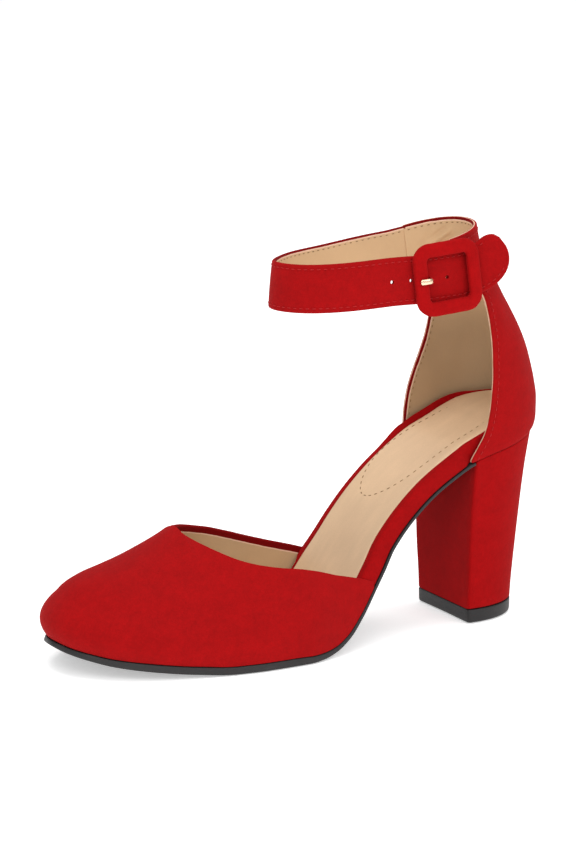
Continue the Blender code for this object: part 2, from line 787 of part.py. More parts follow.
def build_frame():
    """Buckle frame: covered bar carried round a rectangle with round corners."""
    red = material("buckle_red", (0.40, 0.013, 0.014), 0.88)
    hw = (FRAME_WIDE - FRAME_BAR) / 2
    hh = (FRAME_HIGH - FRAME_BAR) / 2
    r = 4.2
    corners = ((1, 1), (-1, 1), (-1, -1), (1, -1))
    path = []
    for k, (cx, cz) in enumerate(corners):
        for j in range(6):
            a = math.pi / 2 * (k + j / 5)
            path.append((cx * (hw - r) + r * math.cos(a), cz * (hh - r) + r * math.sin(a), a))
        nx, nz = corners[(k + 1) % 4]
        a = math.pi / 2 * (k + 1)
        for share in (1 / 3, 2 / 3):
            mx = cx + (nx - cx) * share
            mz = cz + (nz - cz) * share
            path.append((mx * (hw - r) + r * math.cos(a), mz * (hh - r) + r * math.sin(a), a))
    loops = []
    for px, pz, turn in path:
        loop = []
        for j in range(12):
            a = 2 * math.pi * (j + 0.5) / 12
            c = math.copysign(abs(math.cos(a)) ** 0.62, math.cos(a)) * FRAME_BAR / 2
            s = math.copysign(abs(math.sin(a)) ** 0.72, math.sin(a)) * FRAME_THICK / 2
            loop.append(at_frame(px + math.cos(turn) * c, s, pz + math.sin(turn) * c))
        loops.append(loop)
    loops.append(loops[0])
    rings("buckle_frame", loops, red, 60)


def build_bar():
    """Buckle bar: staple behind the strap, its feet against the back of the frame."""
    metal = material("bar_metal", (0.75, 0.60, 0.38), 0.3, 1.0)
    foot = -FRAME_THICK / 2 - 0.3
    line = [(foot, BAR_HIGH), (foot - 1.2, BAR_HIGH)]
    for j in range(1, 6):
        a = math.pi / 2 * j / 5
        line.append((BAR_OUT + 1.2 - 1.2 * math.sin(a), BAR_HIGH - 1.2 + 1.2 * math.cos(a)))
    line += [(BAR_OUT, 4.0), (BAR_OUT, 0.0), (BAR_OUT, -4.0)]
    line += [(out, -up) for out, up in line[6::-1]]
    path = np.array(line)
    tangent = np.gradient(path, axis=0)
    tangent /= np.linalg.norm(tangent, axis=1, keepdims=True)
    loops = []
    for (out, up), (t_out, t_up) in zip(path, tangent):
        loop = []
        for j in range(10):
            a = 2 * math.pi * j / 10
            c = BAR_RADIUS * math.cos(a)
            s = BAR_RADIUS * math.sin(a)
            loop.append(at_frame(BAR_AT + c, out + s * t_up, up - s * t_out))
        loops.append(loop)
    rings("buckle_bar", loops, metal, 45, (True, True))


def build_loop():
    """Buckle loop: leather round the bar, slotted in the middle for the prong."""
    leather = material("loop_red", (0.36, 0.012, 0.012), 0.9)
    loops = []
    for j in range(24):
        a = 2 * math.pi * j / 24
        c = math.cos(a)
        s = math.sin(a)
        near = (BAR_AT + LOOP_IN * c, BAR_OUT + LOOP_IN * s)
        far = (BAR_AT + LOOP_OUT * c, BAR_OUT + LOOP_OUT * s)
        loops.append([at_frame(*near, -8.5), at_frame(*far, -8.5),
                      at_frame(*far, 8.5), at_frame(*near, 8.5)])
    loops.append(loops[0])
    loop = rings("buckle_loop", loops, leather, 50)
    axes = np.column_stack([*frame_axes(), FRAME_CENTRE])
    place = Matrix([*axes.tolist(), [0, 0, 0, 1]])
    box = []
    for a in (BAR_AT - 3.0, BAR_AT + 3.0):
        for out in (BAR_OUT - 0.4, BAR_OUT + 4.0):
            box += [(a, out, -1.9), (a, out, 1.9)]
    quads = [(2, 3, 1, 0), (5, 7, 6, 4), (1, 5, 4, 0), (6, 7, 3, 2), (4, 6, 2, 0), (3, 7, 5, 1)]
    cut(loop, "slot", place, box, quads)


def build_prong():
    """Buckle prong: hooked on the bar, through the strap hole, tip on the front of the frame."""
    gold = material("buckle_gold", (0.83, 0.62, 0.32), 0.25, 1.0)
    top = FRAME_THICK / 2
    line = []
    for a in np.radians([0, 28, 56, 85]):
        line.append((BAR_AT + 1.75 * math.cos(a), BAR_OUT + 1.75 * math.sin(a)))
    line += [(-1.8, BAR_OUT + 1.45), (-5.4, BAR_OUT + 1.4), (-6.7, BAR_OUT + 1.75)]
    line += [(-7.35, BAR_OUT + 2.6), (-7.45, BAR_OUT + 4.0), (-7.5, BAR_OUT + 5.6)]
    line += [(-7.9, top - 0.8), (-8.9, top + 0.6)]
    line += [(-10.2, top + 1.0), (-11.3, top + 0.85), (-12.0, top + 0.55)]
    path = np.array(line)
    tangent = np.gradient(path, axis=0)
    tangent /= np.linalg.norm(tangent, axis=1, keepdims=True)
    section = ((1.0, -0.25), (1.0, 0.25), (0.7, 0.45), (-0.7, 0.45),
               (-1.0, 0.25), (-1.0, -0.25), (-0.7, -0.45), (0.7, -0.45))
    loops = []
    for (a, out), (t_a, t_out) in zip(path, tangent):
        wide = PRONG_TIP if a < -8.5 else PRONG_STEM
        loops.append([at_frame(a - v * t_out, out + v * t_a, u * wide) for u, v in section])
    rings("buckle_prong", loops, gold, 45, (True, True))


def main():
    for obj in list(bpy.data.objects):
        bpy.data.objects.remove(obj)
    build_sole()
    build_vamp()
    build_quarter()
    build_strap()
    build_frame()
    build_bar()
    build_loop()
    build_prong()
    points = np.concatenate([[tuple(v.co) for v in obj.data.vertices] for obj in OBJECTS])
    low = points.min(axis=0)
    high = points.max(axis=0)
    shift = Vector((-(low[0] + high[0]) / 2, -(low[1] + high[1]) / 2, -low[2]))
    for obj in OBJECTS:
        obj.data.transform(Matrix.Translation(shift))
        obj.data.update()


main()
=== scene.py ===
"""Ankle strap pump with a block heel, dressed for rendering: suede, lining, stitches and metal.

Run as a script in Blender 4.5. Lengths in the tables are millimetres in the shoe's own plan,
X from toe to heel, -Y to the outer side, Z up; place() turns them into metres in the frame.
"""
import math

import bpy
import numpy as np
from mathutils import Matrix, Vector


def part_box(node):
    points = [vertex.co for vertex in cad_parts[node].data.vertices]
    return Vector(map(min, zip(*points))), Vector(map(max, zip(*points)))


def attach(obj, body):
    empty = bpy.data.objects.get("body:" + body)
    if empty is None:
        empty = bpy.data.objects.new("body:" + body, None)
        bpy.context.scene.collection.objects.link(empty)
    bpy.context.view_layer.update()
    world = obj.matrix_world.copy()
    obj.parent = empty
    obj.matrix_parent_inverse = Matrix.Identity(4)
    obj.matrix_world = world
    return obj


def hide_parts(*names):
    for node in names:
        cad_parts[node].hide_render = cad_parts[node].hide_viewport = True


bl_info = {
    "name": "Ankle Strap Pump",
    "version": (1, 0, 0),
    "blender": (4, 5, 0),
    "location": "3D View > Sidebar > Pump",
    "description": "Builds the pieces, finishes and stage of an ankle strap pump",
    "category": "Object",
}

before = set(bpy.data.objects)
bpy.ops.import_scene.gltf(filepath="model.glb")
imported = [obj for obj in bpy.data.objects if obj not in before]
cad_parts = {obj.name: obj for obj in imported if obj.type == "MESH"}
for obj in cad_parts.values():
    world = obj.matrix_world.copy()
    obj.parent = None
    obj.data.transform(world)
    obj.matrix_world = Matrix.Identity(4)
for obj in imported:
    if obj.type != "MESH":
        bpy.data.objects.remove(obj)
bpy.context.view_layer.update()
ORIGIN = np.array(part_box("outsole")[0]) + np.array([0.0018, 0.0421, 0.0])

MM = 0.001
GAP = 0.3
CUP = 0.8
RIM_BULGE = 0.45
BREAST_X = 178.7


def columns(names, *rows):
    """Table with named columns, one row per section."""
    data = np.array(rows, float)
    return {name: data[:, k] for k, name in enumerate(names.split())}


# sole outline each side of the centre line and height of its underside
SOLE = columns(
    "x lateral medial bottom",
    (-1.8, 0, 0, 10.7), (1.4, 11.2, 12.2, 9.2), (6.8, 18.3, 19.4, 7.5), (15.5, 25.4, 26.4, 5.3),
    (30, 33, 33.1, 3.1), (45, 37.5, 36, 1.3), (62, 40.9, 37.2, 0), (75, 42.1, 36.6, 0),
    (94, 41.5, 33.2, 0), (100, 40.3, 31.8, 0.4), (107, 38.2, 30, 1.9), (115, 35.6, 27.7, 6.2),
    (122, 33.2, 25.8, 13.2), (130, 30.6, 24.4, 24), (135, 29, 23.4, 30.9),
    (140, 27.1, 22.8, 38), (150, 26.2, 23.2, 49.1), (160, 25.9, 24.1, 57.6),
    (170, 26.3, 25.2, 64.2), (177, 26.6, 25.7, 68.1), (188, 26.6, 25.9, 71.5),
    (196, 25.5, 24.9, 73.4), (203, 22.7, 22.1, 75), (209, 18.2, 17.7, 76.4),
    (213, 13.2, 12.9, 77.3), (215.6, 7.6, 7.4, 77.9), (216.8, 0, 0, 78.2),
)
SOLE_START = -1.8
SOLE_END = 216.8

# thickness of the outsole, height of the footbed, insets of the board and of the sock
LAYERS = columns(
    "x sole bed board_in sock_in",
    (-1.8, 2.2, 6.8, 2.8, 3.8), (8, 2.6, 7.1, 2.8, 3.8), (30, 3.1, 7.6, 2.7, 3.6),
    (85, 3.1, 7.6, 2.7, 3.6), (99, 2.6, 7.6, 2.7, 3.7), (113, 1.7, 7.6, 2.8, 4.3),
    (123, 1.3, 8.1, 2.9, 4.9), (127.4, 1.2, 8.5, 2.9, 4.9), (129.2, 1.2, 8.6, 0.5, 4.8),
    (150, 1.2, 8.7, 0.5, 4.3), (174.5, 1.2, 9, 0.5, 4.3), (177.6, 1.2, 9.4, 2.6, 4.6),
    (180, 1.2, 9.6, 2.6, 4.7), (187, 1.2, 10.6, 2.6, 4.6), (194, 1.2, 12, 2.6, 4.1),
    (203, 1.2, 13.6, 2.6, 3.6), (216.8, 1.2, 14.6, 2.6, 3.6),
)

# rise of the covered board along the medial side of the seat
RIM_LIFT = columns(
    "x medial",
    (-1.8, 0), (163, 0), (174, 1.4), (181, 2.4), (192, 2.4), (202, 1.5), (209, 0.3), (216.8, 0),
)

# vamp: rise of its ridge over the sole edge, and roundness of its sections
RIDGE = columns(
    "x rise",
    (-1.8, 0), (0, 12), (3, 18.8), (8, 24.2), (16, 28.7), (27, 32.9), (40, 39.2), (54, 48.2),
)
ROUND = columns(
    "x power",
    (-1.8, 2.3), (20, 2.2), (38, 2), (54, 1.8), (70, 1.95), (95, 2.2), (130, 2.3),
)
THROAT_X = 54.0
TAIL_X = 129.6
NOSE_OUT = 3.0
NOSE_HIGH = 19.0

# collar of the vamp from the throat to the waist
COLLAR = columns(
    "x lateral_y lateral_z medial_y medial_z",
    (54, 0, 51.4, 0, 51.4), (54.8, 4, 50.2, 4, 50.3), (56.2, 9.4, 48.8, 9.2, 49.4),
    (58.2, 14.2, 47.5, 13.8, 48.5), (63, 22.3, 45, 21.5, 46.7), (69, 28, 42.4, 26.2, 45.3),
    (76, 32.1, 40.4, 28.8, 43.5), (85, 35.1, 38.7, 30.4, 41.1), (92, 35.8, 37.6, 30.2, 38.9),
    (101, 35, 35.4, 28.7, 36.2), (111, 33.3, 32.2, 26.9, 33.4), (119, 31.9, 30, 25.7, 31.2),
    (124, 31.2, 28.5, 25.2, 29.6), (129.6, 30, 26.6, 24.1, 27.8),
)

# quarter: one row per level, from the edge on the seat to the top of the band
QUARTER = columns(
    "lateral_x lateral_z medial_x medial_z back_x back_z lateral_w medial_w centre_x",
    (176.5, 69.9, 172.9, 67.7, 216.8, 79.9, 26.6, 25.9, 188),
    (177.6, 72.6, 173.3, 70.5, 218.2, 82, 27.2, 26.4, 188),
    (179.6, 76.2, 173.9, 75.2, 218.8, 86, 27.6, 26.8, 188),
    (182.7, 82.2, 174.6, 83, 218.8, 92.5, 27.9, 27, 188),
    (184.6, 90, 175.9, 90.5, 217.7, 99.5, 27.9, 27, 187.3),
    (185.6, 98, 178.2, 98, 216, 106.5, 27.8, 26.9, 186.2),
    (186.1, 106.5, 181.4, 106, 213.8, 113.8, 27.6, 26.8, 184.7),
    (186.1, 116, 184.5, 115, 210.4, 121.6, 27.4, 26.6, 182),
    (185.7, 125, 185.8, 123.5, 206, 129.5, 27.2, 26.4, 178.5),
    (184.9, 132.5, 185.2, 131, 201.9, 136.5, 27, 26.2, 174.8),
    (183.4, 138.5, 182.6, 137.4, 198.7, 142.5, 26.8, 26, 171.5),
    (180.2, 142.2, 178.6, 140.4, 196, 147.5, 26.6, 25.8, 168.5),
    (173.5, 143.4, 175.2, 142.1, 194.4, 151.5, 26.5, 25.7, 166),
    (167, 144.8, 174.7, 145, 192.7, 155.3, 26.4, 25.6, 164.2),
    (165, 150, 173.8, 150.4, 191.1, 159.2, 26.3, 25.5, 162.8),
    (165, 156.5, 172.9, 156.2, 190, 163.2, 26.2, 25.4, 162.3),
    (166, 162.6, 172, 161.5, 189.3, 166.6, 26.2, 25.4, 162),
)

# heel block: share of the height and plan of the D section
HEEL = columns(
    "share centre_x back_x lateral_w medial_w",
    (0, 182.3, 208.4, 20.8, 21.3), (0.1, 182.5, 208.9, 21.1, 21.8),
    (0.35, 183.5, 210.7, 21.9, 23.6), (0.6, 185, 212.7, 22.8, 24.4),
    (0.79, 186.5, 214.2, 24.2, 25.1), (1, 188, 216.4, 26.4, 25.7),
)
TIP_HEIGHT = 5.7
BREAST_ROUND = 1.3

# ankle strap: centre line from the seam, round the front of the ankle, to the free end
STRAP = columns(
    "x y z",
    (176, 22.3, 152.4), (171.5, 23.8, 151.5), (166.5, 25, 150.5), (158, 26.2, 149.4),
    (146, 26.9, 147.8), (132, 25.3, 146.4), (118, 20.8, 145.8), (106.6, 13, 145.4),
    (100.2, 2, 145.6), (102.8, -9.5, 145.8), (111.6, -18.7, 146.3), (125, -25.3, 147.4),
    (137, -28.4, 148.4), (147, -29.4, 148.5), (155, -29.7, 148.5), (163, -29.7, 148.8),
    (170.6, -29.3, 149.4), (177.2, -29.9, 151.5), (182.7, -31.4, 155), (188, -32.9, 160.2),
)
STRAP_LEAN = 0.085
STRAP_HOLES = (137.0, 145.1, 153.2, 161.3)
HOLE_RADIUS = 0.75
STRAP_SEWN = 6.5
TAIL_UPPER = 7.0
TAIL_LOWER = 17.0
TAIL_MEET = 4.5

# dashed loop on the sock: station along the sole and distance across
SOCK_LOOP = columns(
    "x y",
    (212, 3), (207.5, 7.5), (199, 13.6), (190, 17), (180, 18.2), (173, 19.2), (165, 19.6),
    (158, 17.6), (152.5, 13.5), (149.4, 8.5), (149, 3), (150.8, -2.5), (154.5, -8),
    (160, -12.2), (168, -14.2), (176, -14.9), (184, -14.9), (193, -13.9), (201, -11), (207, -7),
    (211.5, -2),
)

# stitches: length of a dash, radius of the thread and its lift over the surface
OUTER_STITCH = (1.9, 0.24, 0.1)
LINING_STITCH = (1.4, 0.17, 0.04)
SOCK_STITCH = (3.3, 2.1, 0.2, 0.02)

# buckle: frame sizes and place, and the bar behind the strap
FRAME_WIDE = 30.2
FRAME_HIGH = 29.4
FRAME_BAR = 5.8
FRAME_THICK = 3.3
FRAME_CENTRE = (160.6, -33.0, 149.1)
FRAME_TURN = 4.5
FRAME_LEAN = 0.085
FRAME_ROUND = 4.5
BAR_AT = 1.7
BAR_OUT = -6.8
BAR_HIGH = 11.9
BAR_RADIUS = 0.9


# stage: half the floor, camera azimuth, height and roll in degrees, its distance from the middle
# of the shoe with the shift of the picture, and lamps with place, power in watts and size
FLOOR_HALF = 40.0
CAMERA_TURN = (27.714, 12.445, -0.188)
CAMERA_MOVE = (1294.41, 8.70, 23.66)
LAMPS = (
    ("key", (0.45, -1.5, 1.15), 9.5, 1.3),
    ("fill", (-1.1, -1.35, 1.25), 14.5, 1.3),
    ("top", (0.0, 0.2, 1.9), 20.0, 1.6),
)


# ---------------------------------------------------------------- curves and surfaces


def smooth(xs, ys, x):
    """Monotone cubic curve through (xs, ys) at x: Hermite pieces with harmonic mean slopes."""
    xs = np.asarray(xs, float)
    ys = np.asarray(ys, float)
    x = np.clip(np.asarray(x, float), xs[0], xs[-1])
    h = np.diff(xs)
    d = np.diff(ys) / h
    m = np.concatenate([[d[0]], np.zeros(len(d) - 1), [d[-1]]])
    w1 = 2 * h[1:] + h[:-1]
    w2 = h[1:] + 2 * h[:-1]
    same = d[1:] * d[:-1] > 0
    da = np.where(same, d[:-1], 1.0)
    db = np.where(same, d[1:], 1.0)
    m[1:-1] = np.where(same, (w1 + w2) / (w1 / da + w2 / db), 0.0)
    k = np.clip(np.searchsorted(xs, x, side="right") - 1, 0, len(h) - 1)
    t = (x - xs[k]) / h[k]
    a = 2 * t ** 3 - 3 * t ** 2 + 1
    b = t ** 3 - 2 * t ** 2 + t
    c = -2 * t ** 3 + 3 * t ** 2
    e = t ** 3 - t ** 2
    return a * ys[k] + b * h[k] * m[k] + c * ys[k + 1] + e * h[k] * m[k + 1]


def spline(points, count):
    """Natural cubic curve through the points, resampled to count points of even length."""
    p = np.asarray(points, float)
    step = np.linalg.norm(np.diff(p, axis=0), axis=1) ** 0.5
    t = np.concatenate([[0.0], np.cumsum(step)])
    n = len(t)
    h = np.diff(t)
    a = np.eye(n)
    r = np.zeros_like(p)
    for i in range(1, n - 1):
        a[i, i - 1:i + 2] = (h[i - 1], 2 * (h[i - 1] + h[i]), h[i])
        r[i] = 6 * ((p[i + 1] - p[i]) / h[i] - (p[i] - p[i - 1]) / h[i - 1])
    s = np.linalg.solve(a, r)
    u = np.linspace(0, t[-1], 60 * n)
    k = np.clip(np.searchsorted(t, u, side="right") - 1, 0, n - 2)
    l = (t[k + 1] - u)[:, None]
    g = (u - t[k])[:, None]
    hk = h[k][:, None]
    q = s[k] * l ** 3 / (6 * hk) + s[k + 1] * g ** 3 / (6 * hk)
    q += (p[k] / hk - s[k] * hk / 6) * l + (p[k + 1] / hk - s[k + 1] * hk / 6) * g
    return at_length(q, np.linspace(0, 1, count))


def lengths(line):
    """Length along a polyline at each of its points."""
    step = np.linalg.norm(np.diff(line, axis=0), axis=1)
    return np.concatenate([[0.0], np.cumsum(step)])


def at_length(line, shares):
    """Points of a polyline at shares of its length."""
    s = lengths(line)
    u = np.asarray(shares) * s[-1]
    return np.stack([np.interp(u, s, line[:, k]) for k in range(line.shape[1])], -1)


def eased(x, y, width):
    """Curve y(x) averaged with a bell of the given width."""
    fine = np.linspace(x[0], x[-1], 600)
    bell = np.exp(-(((fine[:, None] - fine) / width) ** 2) / 2)
    return np.interp(x, fine, bell @ np.interp(fine, x, y) / bell.sum(axis=1))


def table(data, name, x):
    return smooth(data["x"], data[name], x)


def unit(v):
    return v / np.maximum(np.linalg.norm(v, axis=-1, keepdims=True), 1e-12)


def half(side, x):
    """Half width of the sole outline; its square is interpolated, so the ends are round."""
    name = "lateral" if side < 0 else "medial"
    return np.sqrt(np.maximum(smooth(SOLE["x"], SOLE[name] ** 2, x), 0.0))


def edge(side, x, inset):
    """Plan point of the outline at station x, moved inwards along its normal."""
    x = np.asarray(x, float)
    name = "lateral" if side < 0 else "medial"
    sq = SOLE[name] ** 2
    span = np.clip(x + 0.02, SOLE_START, SOLE_END) - np.clip(x - 0.02, SOLE_START, SOLE_END)
    g = (smooth(SOLE["x"], sq, x + 0.02) - smooth(SOLE["x"], sq, x - 0.02)) / span / 2
    w = half(side, x)
    size = np.maximum(np.hypot(g, w), 1e-9)
    return x + inset * g / size, side * (w - inset * w / size)


def layer(x, d):
    """Point at distance d above the sole underside, square to its profile."""
    z = table(SOLE, "bottom", x)
    slope = (table(SOLE, "bottom", x + 0.4) - table(SOLE, "bottom", x - 0.4)) / 0.8
    size = np.sqrt(1 + slope ** 2)
    return x - slope / size * d, z + d / size


def place(points):
    """Plan millimetres to metres in the frame."""
    return np.asarray(points) * MM + ORIGIN


def quads(rows, cols, start=0, around=False):
    """Four-sided faces of a grid of rows by cols points."""
    j = np.arange(cols if around else cols - 1)
    i = np.arange(rows - 1)[:, None]
    k = (j + 1) % cols
    a = start + i * cols
    b = a + cols
    return np.stack([a + j, a + k, b + k, b + j], -1).reshape(-1, 4)


def welded(points, faces, fields):
    """Points at one place joined; quads that lost a corner become triangles, others vanish."""
    key = np.round(points, 4) + 0.0
    _, first, index = np.unique(key, axis=0, return_index=True, return_inverse=True)
    faces = index.ravel()[faces]
    same = faces == np.roll(faces, -1, axis=1)
    whole = faces[~same.any(axis=1)]
    part = faces[same.sum(axis=1) == 1]
    mask = ~(part == np.roll(part, -1, axis=1))
    tris = part[mask].reshape(-1, 3)
    ok = (tris[:, 0] != tris[:, 1]) & (tris[:, 1] != tris[:, 2]) & (tris[:, 0] != tris[:, 2])
    return points[first], whole, tris[ok], {k: v[first] for k, v in fields.items()}


def corner_sum(points, whole, tris):
    """Six times the volume enclosed by the faces, positive when they point outwards."""
    total = 0.0
    for f in (whole[:, :3], whole[:, [0, 2, 3]], tris):
        a, b, c = points[f[:, 0]], points[f[:, 1]], points[f[:, 2]]
        total += np.einsum("ij,ij->", a, np.cross(b, c))
    return total


def make_object(name, points, polys, mat, fields=None, angle=None):
    """Smooth shaded mesh object from plan points, sharp only where faces meet over angle."""
    mesh = bpy.data.meshes.new(name)
    mesh.from_pydata(place(points), [], polys)
    for key, value in (fields or {}).items():
        layer_of = mesh.attributes.new(key, "FLOAT", "POINT")
        layer_of.data.foreach_set("value", np.asarray(value, np.float32))
    mesh.update()
    mesh.shade_smooth()
    if angle:
        mesh.set_sharp_from_angle(angle=math.radians(angle))
    mesh.materials.append(mat)
    obj = bpy.data.objects.new(name, mesh)
    bpy.context.scene.collection.objects.link(obj)
    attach(obj, "root")
    return obj


def add_piece(name, points, faces, kind, node, angle, fields=None, caps=()):
    """Closed piece from quads and end caps, faces outwards, in place of a node of the frame."""
    points, whole, tris, fields = welded(np.asarray(points, float), faces, fields or {})
    polys = whole.tolist() + tris.tolist()
    if caps:
        keys = {tuple(k): n for n, k in enumerate((np.round(points, 4) + 0.0).tolist())}
        for cap in caps:
            ring = [keys[tuple(k)] for k in (np.round(cap, 4) + 0.0).tolist()]
            polys.append(list(dict.fromkeys(ring)))
    if corner_sum(points, whole, tris) < 0:
        polys = [p[::-1] for p in polys]
    obj = make_object(name, points, polys, finish(kind), fields, angle)
    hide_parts(node)
    return obj


def loft(name, loops, kind, node, angle, start=False, end=False, fields=None):
    """Closed loops joined in order into one piece, with flat caps at its start and end."""
    rows, cols, _ = loops.shape
    caps = [loops[0][::-1]] * start + [loops[-1]] * end
    return add_piece(name, loops.reshape(-1, 3), quads(rows, cols, 0, True), kind, node,
                     angle, fields, caps)


def grid_normals(points, faces):
    """Point normals of a quad surface, summed from its faces' diagonals."""
    a, b, c, d = (points[faces[:, k]] for k in range(4))
    n = np.cross(c - a, d - b)
    out = np.zeros_like(points)
    for k in range(4):
        np.add.at(out, faces[:, k], n)
    return unit(out)


def nearest(points, line):
    """Distance from each point to the nearest of a fine polyline's points, and its index."""
    chunk = 2000
    dist = np.empty(len(points))
    index = np.empty(len(points), int)
    for a in range(0, len(points), chunk):
        d = np.linalg.norm(points[a:a + chunk, None] - line[None], axis=2)
        index[a:a + chunk] = d.argmin(axis=1)
        dist[a:a + chunk] = d.min(axis=1)
    return dist, index


def wall(points, faces, level, thick, bulge):
    """Closed wall from an open surface whose normals point outwards.

    The inner skin lies one thickness inside. Free edges are closed by a half round rim that
    stands out by bulge; edges whose points are all level ones keep their height.
    Returns points, faces and the share from the outer (0) to the inner skin (1).
    """
    key = np.round(points, 4) + 0.0
    _, first, index = np.unique(key, axis=0, return_index=True, return_inverse=True)
    index = index.ravel()
    mark = np.zeros(len(first), bool)
    np.logical_or.at(mark, index, level)
    points = points[first]
    faces = index[faces]
    normal = grid_normals(points, faces)
    flat = unit(normal * np.array([1.0, 1.0, 0.0]))
    normal[mark] = flat[mark]
    inner = points - thick * normal
    n = len(points)
    e = np.concatenate([faces[:, [k, (k + 1) % 4]] for k in range(4)])
    e = e[e[:, 0] != e[:, 1]]
    code = e[:, 0] * n + e[:, 1]
    back = e[:, 1] * n + e[:, 0]
    free = e[~np.isin(code, back)]
    push = np.zeros_like(points)
    t = points[free[:, 1]] - points[free[:, 0]]
    for k in range(2):
        np.add.at(push, free[:, k], np.cross(t, normal[free[:, k]]))
    used = np.unique(free)
    out = unit(push[used]) * np.where(mark[used], 0.0, bulge)[:, None]
    slot_of = np.zeros(n, int)
    slot_of[used] = np.arange(len(used))
    blocks = [points, inner]
    share = [np.zeros(n), np.ones(n)]
    steps = np.radians([36, 72, 108, 144])
    for a in steps:
        w = (1 - math.cos(a)) / 2
        blocks.append(points[used] * (1 - w) + inner[used] * w + out * math.sin(a))
        share.append(np.full(len(used), w))
    rows = [free]
    for k in range(len(steps)):
        rows.append(2 * n + k * len(used) + slot_of[free])
    rows.append(n + free)
    skins = [faces, n + faces[:, ::-1]]
    for a, b in zip(rows[:-1], rows[1:]):
        skins.append(np.stack([a[:, 1], a[:, 0], b[:, 0], b[:, 1]], -1))
    return np.concatenate(blocks), np.concatenate(skins), np.concatenate(share)


def stitches(name, line, normal, kind, slot, pitch, run, radius, lift):
    """Row of thread dashes along a line, one every pitch and each as long as run.

    A dash is a tube of six sides and seven rings: round at the middle, sunk and pinched at
    both ends like a bow.
    """
    s = lengths(line)
    count = max(int(s[-1] / pitch), 1)
    at = (np.arange(count) + 0.5) / count * s[-1]
    u = np.linspace(-1, 1, 7)
    where = at[:, None] + u * run / 2
    p = np.stack([np.interp(where, s, line[:, k]) for k in range(3)], -1)
    n = unit(np.stack([np.interp(where, s, normal[:, k]) for k in range(3)], -1))
    t = unit(np.gradient(p, axis=1))
    b = unit(np.cross(t, n))
    bow = np.sqrt(np.maximum(1 - u ** 2, 0))
    p = p + n * (lift + radius * (bow - 1) * 1.3)[None, :, None]
    size = radius * (0.35 + 0.65 * bow)
    a = np.arange(6) * math.pi / 3
    ring = (np.cos(a)[:, None] * b[:, :, None] + np.sin(a)[:, None] * n[:, :, None])
    pts = p[:, :, None] + ring * size[None, :, None, None]
    one = quads(7, 6, 0, True)
    ends = np.array([[0, 1, 2, 3], [0, 3, 4, 5], [39, 38, 37, 36], [41, 40, 39, 36]])
    each = (np.arange(count) * 42)[:, None, None]
    faces = np.concatenate([(one + each).reshape(-1, 4), (ends + each).reshape(-1, 4)])
    pts = pts.reshape(-1, 3)
    if corner_sum(pts - pts.mean(axis=0), faces[:len(one)], np.zeros((0, 3), int)) < 0:
        faces = faces[:, ::-1]
    return make_object(name, pts, faces.tolist(), finish(kind))


def seam_line(grid, border, inset, flip=1.0):
    """Line on a surface grid at a distance inside a border, with its normals."""
    pts = grid.reshape(-1, 3)
    normal = grid_normals(pts, quads(*grid.shape[:2])) * flip
    line = at_length(border, np.linspace(0, 1, 400))
    _, index = nearest(line, pts)
    t = unit(np.gradient(line, axis=0))
    side = unit(np.cross(normal[index], t))
    tries = [line + side * inset, line - side * inset]
    found = [nearest(path, pts) for path in tries]
    best = 0 if found[0][0].sum() < found[1][0].sum() else 1
    path, index = tries[best], found[best][1]
    n = normal[index]
    return path - n * np.sum((path - pts[index]) * n, axis=1, keepdims=True), n


def from_edge(points, rim, inner):
    """Distance from the free edge along the skin: the wall's thickness is taken out."""
    straight, _ = nearest(points, rim)
    return np.sqrt(np.maximum(straight ** 2 - (sizes("wall") * inner) ** 2, 0))


def folds(points, rows):
    """Height of soft folds at points: each a long Gaussian trough or ridge along a direction."""
    out = np.zeros(len(points))
    for x, y, z, dx, dy, dz, long, wide, deep in rows:
        rel = points - np.array([x, y, z])
        d = unit(np.array([dx, dy, dz], float))
        along = rel @ d
        off = np.sum(rel ** 2, axis=1) - along ** 2
        out += deep * np.exp(-(along / long) ** 2 - off / wide ** 2)
    return out


# ---------------------------------------------------------------- finishes


class Sock:
    """A node socket whose operators add Math nodes."""

    def __init__(self, tree, link):
        self.tree, self.link = tree, link

    def math(self, kind, *values):
        return self.tree.node("ShaderNodeMath", dict(enumerate(values)), operation=kind)

    def __add__(self, other):
        return self.math("ADD", self, other)

    def __sub__(self, other):
        return self.math("SUBTRACT", self, other)

    def __rsub__(self, other):
        return self.math("SUBTRACT", other, self)

    def __mul__(self, other):
        return self.math("MULTIPLY", self, other)

    __radd__, __rmul__ = __add__, __mul__

    def absolute(self):
        return self.math("ABSOLUTE", self)

    def step(self, low, high):
        """0 below low, 1 above high, smooth between."""
        values = {"Value": self, "From Min": low, "From Max": high}
        return self.tree.node("ShaderNodeMapRange", values, "Result",
                              interpolation_type="SMOOTHSTEP")


